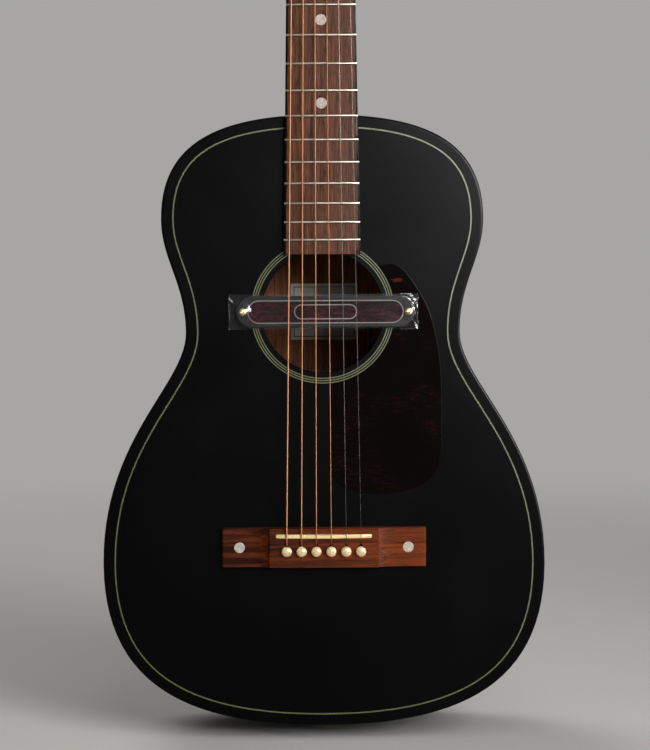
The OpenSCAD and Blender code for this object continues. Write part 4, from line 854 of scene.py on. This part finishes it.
class GUITAR_OT_back_and_sides(bpy.types.Operator):
    """Model the arched back and the bent sides"""

    bl_idname = "guitar.back_and_sides"
    bl_label = "Back and sides"

    def execute(self, context):
        self.back(context.scene.guitar_body)
        self.sides(context.scene.guitar_body)
        return {"FINISHED"}

    def back(self, body):
        """Cuts a flat back into strips and arches it lengthways."""
        back = outline_sheet("back_lacquered", body, -body.back_roll_drop, 1)
        roll_edge(body.back_roll_width, body.back_roll_drop, body.roll_land)
        close_under(back, -body.back_wall)
        strips = 30
        for i in range(1, strips):
            edit(back)
            height = TAIL_Z + body.length * i / strips
            bpy.ops.mesh.bisect(plane_co=(0, 0, height), plane_no=(0, 0, 1), use_fill=False)
        bpy.ops.object.mode_set(mode="OBJECT")
        inner = {face.index for face in back.data.polygons if face.normal.y < -FACING}
        for vertex in back.data.vertices:
            vertex.co.y += FACE_Y + back_depth(body, vertex.co.z)
        smooth(back, 35.0)
        settle(back, "satin_black_lacquer", "black_satin", "back")
        paint_faces(back, "bare_mahogany", lambda f: f.index in inner)

    def sides(self, body):
        """Extrudes the outline from the soundboard to the back and gives it a wall."""
        sides = outline_sheet("sides_lacquered", body, FACE_Y + body.top_wall, -1)
        bpy.ops.mesh.delete(type="ONLY_FACE")
        edit(sides, "EDGE")
        bpy.ops.mesh.extrude_edges_move(TRANSFORM_OT_translate={"value": (0, body.depth_neck, 0)})
        bpy.ops.object.mode_set(mode="OBJECT")
        for vertex in sides.data.vertices:
            if vertex.select:
                vertex.co.y = FACE_Y + back_depth(body, vertex.co.z) - body.back_wall
        edit(sides)
        bpy.ops.mesh.normals_make_consistent(inside=False)
        bpy.ops.object.mode_set(mode="OBJECT")
        widest = max(sides.data.polygons, key=lambda f: abs(f.center.x))
        if widest.normal.x * widest.center.x < 0:
            edit(sides)
            bpy.ops.mesh.flip_normals()
        outer = len(sides.data.polygons)
        modify(sides, "SOLIDIFY", thickness=body.side_wall, offset=-1.0, use_even_offset=True)
        smooth(sides, 35.0)
        settle(sides, "satin_black_lacquer", "black_satin", "side_bass", "side_treble")
        # The wall's inner faces come after the outer ones, in the same number
        paint_faces(sides, "bare_mahogany", lambda f: outer <= f.index < 2 * outer)


class GUITAR_OT_inside(bpy.types.Operator):
    """Finish the blocks, linings, braces and label inside the body"""

    bl_idname = "guitar.inside"
    bl_label = "Inside of the body"

    def execute(self, context):
        for node, surface in (
            ("linings", "bare_mahogany"),
            ("bridge_plate", "bare_mahogany"),
            ("top_braces", "bare_spruce"),
            ("back_braces", "bare_spruce"),
        ):
            paint_node(node, surface)
        blocks = merged_copy("end_blocks_bare", "end_blocks")
        # The strip at the tail lies in the lacquered sides
        pick(blocks, "VERT", lambda v: v.z < TAIL_Z + CLOSE)
        bpy.ops.mesh.select_linked()
        bpy.ops.mesh.delete(type="VERT")
        smooth(blocks)
        settle(blocks, "bare_mahogany", "bare_wood", "end_blocks")
        self.label(context.scene.guitar_fittings)
        return {"FINISHED"}

    def label(self, sizes):
        """Lays a plain line round the blank label."""
        label = clean_copy("paper_label", "label")
        low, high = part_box("label")

        def on_face(face):
            return face.normal.y < -FACING

        def on_line(face):
            x, _, z = face.center
            inside = min(x - low[0], high[0] - x, z - low[2], high[2] - z) - sizes.label_border
            return on_face(face) and 0 < inside < sizes.label_line

        pick(label, "FACE", on_face)
        bpy.ops.mesh.inset(thickness=sizes.label_border)
        bpy.ops.mesh.inset(thickness=sizes.label_line)
        bpy.ops.object.mode_set(mode="OBJECT")
        settle(label, "laid_paper", "paper", "label")
        paint_faces(label, "printed_ink", on_line)


class GUITAR_OT_inlaid_lines(bpy.types.Operator):
    """Model the purfling line and the rings of the rosette"""

    bl_idname = "guitar.inlaid_lines"
    bl_label = "Purfling and rosette"

    def execute(self, context):
        body = context.scene.guitar_body
        level = FACE_Y - body.inlay_rise
        line = outline_sheet("purfling_line", body, level, -1)
        bpy.ops.mesh.inset(thickness=body.purfling_inset)
        bpy.ops.mesh.select_all(action="INVERT")
        bpy.ops.mesh.delete(type="FACE")
        edit(line, "FACE")
        bpy.ops.mesh.inset(thickness=body.purfling_width)
        bpy.ops.mesh.delete(type="FACE")
        self.inlay(line, "purfling", body.inlay_depth)

        deselect()
        disc = {
            "vertices": 180,
            "fill_type": "NGON",
            "location": (0, level, TAIL_Z + body.hole_height),
            "rotation": UPRIGHT,
        }
        bpy.ops.mesh.primitive_circle_add(radius=body.rosette_radius, **disc)
        rings = named(bpy.context.object, "rosette_rings")
        bpy.ops.object.transform_apply(location=True, rotation=True, scale=True)
        edit(rings, "FACE")
        for i in range(3):
            if i:
                bpy.ops.mesh.select_all(action="DESELECT")
                radius = body.rosette_radius - i * body.rosette_step
                bpy.ops.mesh.primitive_circle_add(radius=radius, **disc)
                bpy.ops.mesh.select_mode(type="FACE")
            bpy.ops.mesh.inset(thickness=body.rosette_width)
            bpy.ops.mesh.delete(type="FACE")
        bpy.ops.object.mode_set(mode="OBJECT")
        if rings.data.polygons[0].normal.y > 0:
            edit(rings)
            bpy.ops.mesh.flip_normals()
        self.inlay(rings, "rosette", body.inlay_depth)
        return {"FINISHED"}

    def inlay(self, piece, node, depth):
        """Gives a flat line its thickness and its finish."""
        modify(piece, "SOLIDIFY", thickness=depth, offset=-1.0)
        smooth(piece)
        settle(piece, "cream_fibre_line", "cream_line", node)


class GUITAR_OT_pickguard(bpy.types.Operator):
    """Model the pickguard with its bevelled edge"""

    bl_idname = "guitar.pickguard"
    bl_label = "Pickguard"

    def execute(self, context):
        bevel = context.scene.guitar_fittings.guard_bevel
        guard = eased_copy("pickguard_bevelled", bevel, "pickguard", segments=3, angle=40.0)
        settle(guard, "tortoise_celluloid", "tortoise", "pickguard")
        return {"FINISHED"}


class GUITAR_OT_bridge(bpy.types.Operator):
    """Model the bridge with its saddle, pins, bolts and dots"""

    bl_idname = "guitar.bridge"
    bl_label = "Bridge"

    def execute(self, context):
        sizes = context.scene.guitar_fittings
        bridge = eased_copy("bridge_walnut", sizes.bridge_edge, "bridge", segments=3)
        settle(bridge, "oiled_walnut_across", "walnut", "bridge")
        self.saddle(sizes)
        pins = merged_copy("bridge_pins_bone", "bridge_pins")
        smooth(pins, 40.0)
        settle(pins, "polished_bone", "bone", "bridge_pins")
        dots = eased_copy("pearl_dots_inlaid", 0.12 * MM, "pearl_dots")
        settle(dots, "mother_of_pearl", "pearl", "pearl_dots")
        paint_node("bridge_bolts", "drawn_brass")
        return {"FINISHED"}

    def saddle(self, sizes):
        """Rounds the saddle's ends, and then its upper edges."""
        saddle = clean_copy("saddle_bone", "saddle")
        low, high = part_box("saddle")
        for end in (low[0], high[0]):
            for side in (low[2], high[2]):
                pick(saddle, "EDGE", lambda v: abs(v.x - end) < LEVEL and abs(v.z - side) < LEVEL)
                bpy.ops.mesh.bevel(offset=sizes.saddle_end, segments=6, affect="EDGES")
        bpy.ops.object.mode_set(mode="OBJECT")
        modify(
            saddle,
            "BEVEL",
            width=sizes.saddle_crown,
            segments=3,
            limit_method="ANGLE",
            angle_limit=math.radians(40),
        )
        smooth(saddle, 40.0)
        settle(saddle, "yellowed_bone", "bone", "saddle")


class GUITAR_OT_neck(bpy.types.Operator):
    """Model the neck, headstock, fingerboard, frets and nut"""

    bl_idname = "guitar.neck"
    bl_label = "Neck"

    def execute(self, context):
        sizes = context.scene.guitar_fittings
        neck = merged_copy("neck_lacquered", "neck")
        smooth(neck, 40.0)
        settle(neck, "satin_black_lacquer", "black_satin", "neck")
        head = eased_copy("headstock_lacquered", sizes.head_edge, "headstock", segments=3)
        settle(head, "satin_black_lacquer", "black_satin", "headstock")
        self.fingerboard(sizes)
        frets = merged_copy("frets_crowned", "frets")
        smooth(frets, 50.0)
        settle(frets, "nickel_silver_wire", "steel", "frets")
        nut = eased_copy("nut_bone", 0.4 * MM, "nut")
        settle(nut, "polished_bone", "bone", "nut")
        cover = eased_copy("rod_cover", 0.35 * MM, "truss_cover")
        settle(cover, "moulded_black_plastic", "black_plastic", "truss_cover")
        paint_node("truss_rod", "bright_steel")
        return {"FINISHED"}

    def fingerboard(self, sizes):
        """Cuts the board along its two long edges for the black binding."""
        board = merged_copy("fingerboard_walnut", "fingerboard")
        low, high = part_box("fingerboard")
        inner = high[0] - sizes.binding
        taper = (high[0] - sizes.nut_width / 2) / (high[2] - low[2])
        for side in (-1, 1):
            edit(board)
            bpy.ops.mesh.bisect(plane_co=(side * inner, 0, low[2]), plane_no=(side, 0, taper))
        bpy.ops.object.mode_set(mode="OBJECT")
        smooth(board, 30.0)
        settle(board, "oiled_walnut_along", "walnut", "fingerboard")
        paint_faces(
            board,
            "satin_black_lacquer",
            lambda f: abs(f.center.x) - inner + taper * (f.center.z - low[2]) > 0,
        )


class GUITAR_OT_strings(bpy.types.Operator):
    """Model the four wound and the two plain strings"""

    bl_idname = "guitar.strings"
    bl_label = "Strings"

    def execute(self, context):
        wound = round_copy("strings_wound", "wound_strings")
        settle(wound, "wound_bronze", "bronze", "wound_strings")
        plain = round_copy("strings_plain", "plain_strings")
        settle(plain, "plain_steel", "steel", "plain_strings")
        return {"FINISHED"}


class GUITAR_OT_tuner_plates(bpy.types.Operator):
    """Model the fixed metal of the tuners"""

    bl_idname = "guitar.tuner_plates"
    bl_label = "Tuner plates"

    def execute(self, context):
        for name, node, width in (
            ("tuner_plates_nickel", "tuner_plates", 0.25 * MM),
            ("bushings_nickel", "post_bushings", 0.2 * MM),
            ("headstock_screws_nickel", "headstock_screws", 0.2 * MM),
        ):
            settle(eased_copy(name, width, node), "nickel_plate", "nickel", node)
        return {"FINISHED"}


class GUITAR_OT_tuner_posts(bpy.types.Operator):
    """Model the string posts and their gears"""

    bl_idname = "guitar.tuner_posts"
    bl_label = "Posts and gears"

    def execute(self, context):
        for i in TUNERS:
            post = eased_copy(f"post_{i}_nickel", 0.25 * MM, f"string_post_{i}")
            settle(post, "nickel_plate", "nickel", f"string_post_{i}", body=f"post_{i}")
            gear = eased_copy(f"gear_{i}_brass", 0.1 * MM, f"tuner_gear_{i}", segments=1)
            settle(gear, "drawn_brass", "brass", f"tuner_gear_{i}", body=f"post_{i}")
        return {"FINISHED"}


class GUITAR_OT_tuner_keys(bpy.types.Operator):
    """Model the worm shafts and their bean-shaped buttons"""

    bl_idname = "guitar.tuner_keys"
    bl_label = "Tuner keys"

    def execute(self, context):
        for i in TUNERS:
            node = f"worm_shaft_{i}"
            shaft = eased_copy(f"worm_{i}_nickel", 0.12 * MM, node, segments=1, angle=50.0)
            settle(shaft, "nickel_plate", "nickel", node, body=f"key_{i}")
            node = f"tuner_button_{i}"
            button = eased_copy(f"button_{i}_cream", 2.4 * MM, node, segments=5, angle=45.0)
            settle(button, "moulded_cream_plastic", "ivory_button", node, body=f"key_{i}")
        return {"FINISHED"}


class PickupBar:
    """The long round-ended face of the pickup, as the solid has it."""

    def __init__(self):
        self.low, self.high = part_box("pickup_cover")
        self.middle = [(a + b) / 2 for a, b in zip(self.low, self.high)]
        self.length = self.high[0] - self.low[0]
        self.width = self.high[2] - self.low[2]

    def past(self, spot, length, width):
        """Distance of a spot from a bar with round ends, below zero inside it."""
        x, z = spot.x - self.middle[0], spot.z - self.middle[2]
        return math.hypot(max(abs(x) - (length - width) / 2, 0.0), z) - width / 2


class GUITAR_OT_pickup(bpy.types.Operator):
    """Model the bar pickup with its silver lines, screws, coil and lead"""

    bl_idname = "guitar.pickup"
    bl_label = "Pickup"

    def execute(self, context):
        self.cover(context.scene.guitar_fittings, PickupBar())
        case = eased_copy("pickup_case_moulded", 0.4 * MM, "pickup_case")
        settle(case, "moulded_black_plastic", "black_plastic", "pickup_case")
        screws = merged_copy("pickup_screws_brass", "pickup_screws")
        smooth(screws, 35.0)
        settle(screws, "drawn_brass", "brass", "pickup_screws")
        paint_node("pickup_coil", "copper_wire")
        lead = round_copy("pickup_lead_round", "pickup_lead")
        settle(lead, "black_rubber", "rubber", "pickup_lead")
        return {"FINISHED"}

    def cover(self, sizes, bar):
        """Rounds the bar's rim, and paints its field red and its sunk lines silver."""
        cover = clean_copy("pickup_bar", "pickup_cover")
        front, edge = bar.low[1], 2 * LEVEL

        def on_rim(v):
            return v.y < front + LEVEL and abs(bar.past(v, bar.length, bar.width)) < CLOSE

        def reach(face, length, width):
            distances = [bar.past(cover.data.vertices[i].co, length, width) for i in face.vertices]
            return min(distances), max(distances)

        def in_field(face):
            most = reach(face, sizes.field_length, sizes.field_width)[1]
            return face.normal.y < -FACING and most < edge

        def on_line(face):
            if not front + edge < face.center.y < front + 1.0 * MM:
                return False
            field = reach(face, sizes.field_length, sizes.field_width)
            panel = reach(face, sizes.panel_length, sizes.panel_width)
            return any(most < edge and least > -sizes.line_width - edge for least, most in (field, panel))

        pick(cover, "EDGE", on_rim)
        bpy.ops.mesh.bevel(offset=sizes.cover_round, segments=4, affect="EDGES")
        bpy.ops.object.mode_set(mode="OBJECT")
        smooth(cover, 35.0)
        settle(cover, "moulded_black_plastic", "tortoise", "pickup_cover")
        paint_faces(cover, "red_celluloid", in_field)
        paint_faces(cover, "silver_paint", on_line)


class GUITAR_OT_pickup_film(bpy.types.Operator):
    """Model the clear film that still covers the pickup"""

    bl_idname = "guitar.pickup_film"
    bl_label = "Pickup film"

    def execute(self, context):
        sizes, bar = context.scene.guitar_fittings, PickupBar()
        deselect()
        bpy.ops.mesh.primitive_grid_add(
            x_subdivisions=230,
            y_subdivisions=64,
            size=1.0,
            location=(sizes.film_offset, bar.low[1], bar.middle[2]),
            rotation=UPRIGHT,
        )
        film = named(bpy.context.object, "pickup_film_clear")
        film.scale = (sizes.film_length, sizes.film_width, 1.0)
        bpy.ops.object.transform_apply(location=True, rotation=True, scale=True)
        # Fall of the film beside a screw, as a share of the distance
        slope = 0.42
        # Drawn over the bar and its screws, hanging past the rim, creased towards the corners
        for vertex in film.data.vertices:
            x, z = vertex.co.x - bar.middle[0], vertex.co.z - bar.middle[2]
            past = max(0.0, bar.past(vertex.co, bar.length, bar.width))
            from_screw = math.hypot(abs(x) - sizes.screw_pitch / 2, z) - sizes.screw_radius
            lift = max(sizes.film_gap, sizes.film_rise - slope * max(0.0, from_screw))
            hang = sizes.film_hang * (1 - math.exp(-((past / sizes.film_fall) ** 2)))
            vertex.co.y += hang - lift - self.crease(x, z, sizes)
        modify(film, "SOLIDIFY", thickness=sizes.film_wall, offset=0.0)
        only(film)
        bpy.ops.object.shade_smooth()
        settle(film, "clear_polypropylene_film", None)
        return {"FINISHED"}

    def crease(self, x, z, sizes):
        """Height of the creases that run out from the two screws."""
        total = 0.0
        for side, angle, height in FILM_CREASES:
            ray = Vector((math.cos(math.radians(angle)), math.sin(math.radians(angle))))
            spot = Vector((x - side * sizes.screw_pitch / 2, z))
            along, off = spot.dot(ray), spot.x * ray.y - spot.y * ray.x
            if along > 0:
                ridge = math.exp(-((off / sizes.crease_width) ** 2))
                total += height * min(1.0, along / sizes.crease_start) * ridge
        return total


class GUITAR_OT_jack(bpy.types.Operator):
    """Model the end-pin jack that is also the strap button"""

    bl_idname = "guitar.jack"
    bl_label = "End-pin jack"

    def execute(self, context):
        jack = eased_copy("jack_nickel", 0.3 * MM, "endpin_jack")
        settle(jack, "nickel_plate", "nickel", "endpin_jack")
        return {"FINISHED"}


class GUITAR_OT_stage(bpy.types.Operator):
    """Set up the floor, the soft lights and the camera"""

    bl_idname = "guitar.stage"
    bl_label = "Studio"

    def execute(self, context):
        scene = context.scene
        deselect()
        bpy.ops.mesh.primitive_plane_add(size=60.0, location=(0, 0, CAD_BOX[0][2]))
        floor = named(bpy.context.object, "studio_floor")
        bpy.ops.object.transform_apply(location=True)
        floor.data.materials.append(finish("painted_floor"))

        world = bpy.data.worlds.new("studio_room")
        world.use_nodes = True
        scene.world = world
        tree = world.node_tree
        room = {"Color": scene.guitar_colours.room, "Strength": room_light(tree)}
        wire(tree, tree.nodes["Background"], room)
        self.lights()
        self.camera(scene)
        scene.view_settings.view_transform = "Standard"
        deselect()
        return {"FINISHED"}

    def lights(self):
        """Hangs the soft lights round the guitar: place, width, height and watts."""
        target = Vector((0, 0, 0.3))
        for name, spot, wide, high, power in (
            ("key_light", (0.88, -1.2, 0.62), 0.62, 0.5, 6.2),
            ("high_light", (0.85, -0.95, 1.2), 0.6, 0.6, 3.2),
            ("top_light", (0.2, -0.75, 1.9), 0.8, 0.8, 1.2),
            ("fill_light", (-1.6, -1.1, 1.0), 1.4, 1.4, 1.2),
            ("gloss_card", (0.8, -1.05, 0.66), 1.2, 0.3, 76.0),
            ("side_card", (1.0, -0.45, 0.34), 0.5, 0.5, 16.0),
            ("back_light", (-0.8, 1.3, 1.6), 1.2, 1.2, 8.0),
        ):
            bpy.ops.object.light_add(type="AREA", location=spot)
            lamp = bpy.context.object
            lamp.name = name
            lamp.visible_camera = False
            # A card shows in the gloss alone
            lamp.visible_diffuse = not name.endswith("card")
            lamp.data.shape = "RECTANGLE"
            lamp.data.size = wide
            lamp.data.size_y = high
            lamp.data.energy = power
            if lamp.visible_diffuse:
                # Louvres keep the light on the guitar and off the floor beneath the lamp
                lamp.data.spread = math.radians(120)
            lamp.rotation_euler = (target - Vector(spot)).to_track_quat("-Z", "Y").to_euler()

    def camera(self, scene):
        """Looks at the face from a little above, rolled as in the photograph."""
        eye, look = Vector((0.0015, -1.34132, 0.36575)), Vector((0.0015, FACE_Y, 0.27214))
        roll = Quaternion((0, 0, 1), math.radians(-0.33))
        bpy.ops.object.camera_add(location=eye)
        camera = bpy.context.object
        camera.name = "photo_camera"
        camera.rotation_euler = ((look - eye).to_track_quat("-Z", "Y") @ roll).to_euler()
        camera.data.lens = 85.0
        camera.data.sensor_width = 36.0
        camera.data.clip_start = 0.01
        scene.camera = camera


class GUITAR_PT_panel(bpy.types.Panel):
    """Lists the pieces of the guitar with their sizes and colours"""

    bl_idname = "GUITAR_PT_panel"
    bl_label = "Parlour guitar"
    bl_space_type = "VIEW_3D"
    bl_region_type = "UI"
    bl_category = "Guitar"

    def draw(self, context):
        for operator in OPERATORS:
            self.layout.operator(operator.bl_idname)
        for name, group in GROUPS:
            for key in group.__annotations__:
                self.layout.prop(getattr(context.scene, name), key)


OPERATORS = (
    GUITAR_OT_stage,
    GUITAR_OT_soundboard,
    GUITAR_OT_back_and_sides,
    GUITAR_OT_inside,
    GUITAR_OT_inlaid_lines,
    GUITAR_OT_pickguard,
    GUITAR_OT_bridge,
    GUITAR_OT_neck,
    GUITAR_OT_strings,
    GUITAR_OT_tuner_plates,
    GUITAR_OT_tuner_posts,
    GUITAR_OT_tuner_keys,
    GUITAR_OT_pickup,
    GUITAR_OT_pickup_film,
    GUITAR_OT_jack,
)
GROUPS = (
    ("guitar_body", GuitarBodySizes),
    ("guitar_fittings", GuitarFittingSizes),
    ("guitar_colours", GuitarColours),
)


def register():
    """Adds the sizes, the colours, the operators and the panel."""
    for name, group in GROUPS:
        bpy.utils.register_class(group)
        setattr(bpy.types.Scene, name, bpy.props.PointerProperty(type=group))
    for item in (*OPERATORS, GUITAR_PT_panel):
        bpy.utils.register_class(item)


def unregister():
    """Takes away what register added."""
    for item in reversed((*OPERATORS, GUITAR_PT_panel)):
        bpy.utils.unregister_class(item)
    for name, group in reversed(GROUPS):
        delattr(bpy.types.Scene, name)
        bpy.utils.unregister_class(group)


def main():
    """Builds every piece in order."""
    register()
    for operator in OPERATORS:
        group, name = operator.bl_idname.split(".")
        getattr(getattr(bpy.ops, group), name)()


if __name__ == "__main__":
    main()
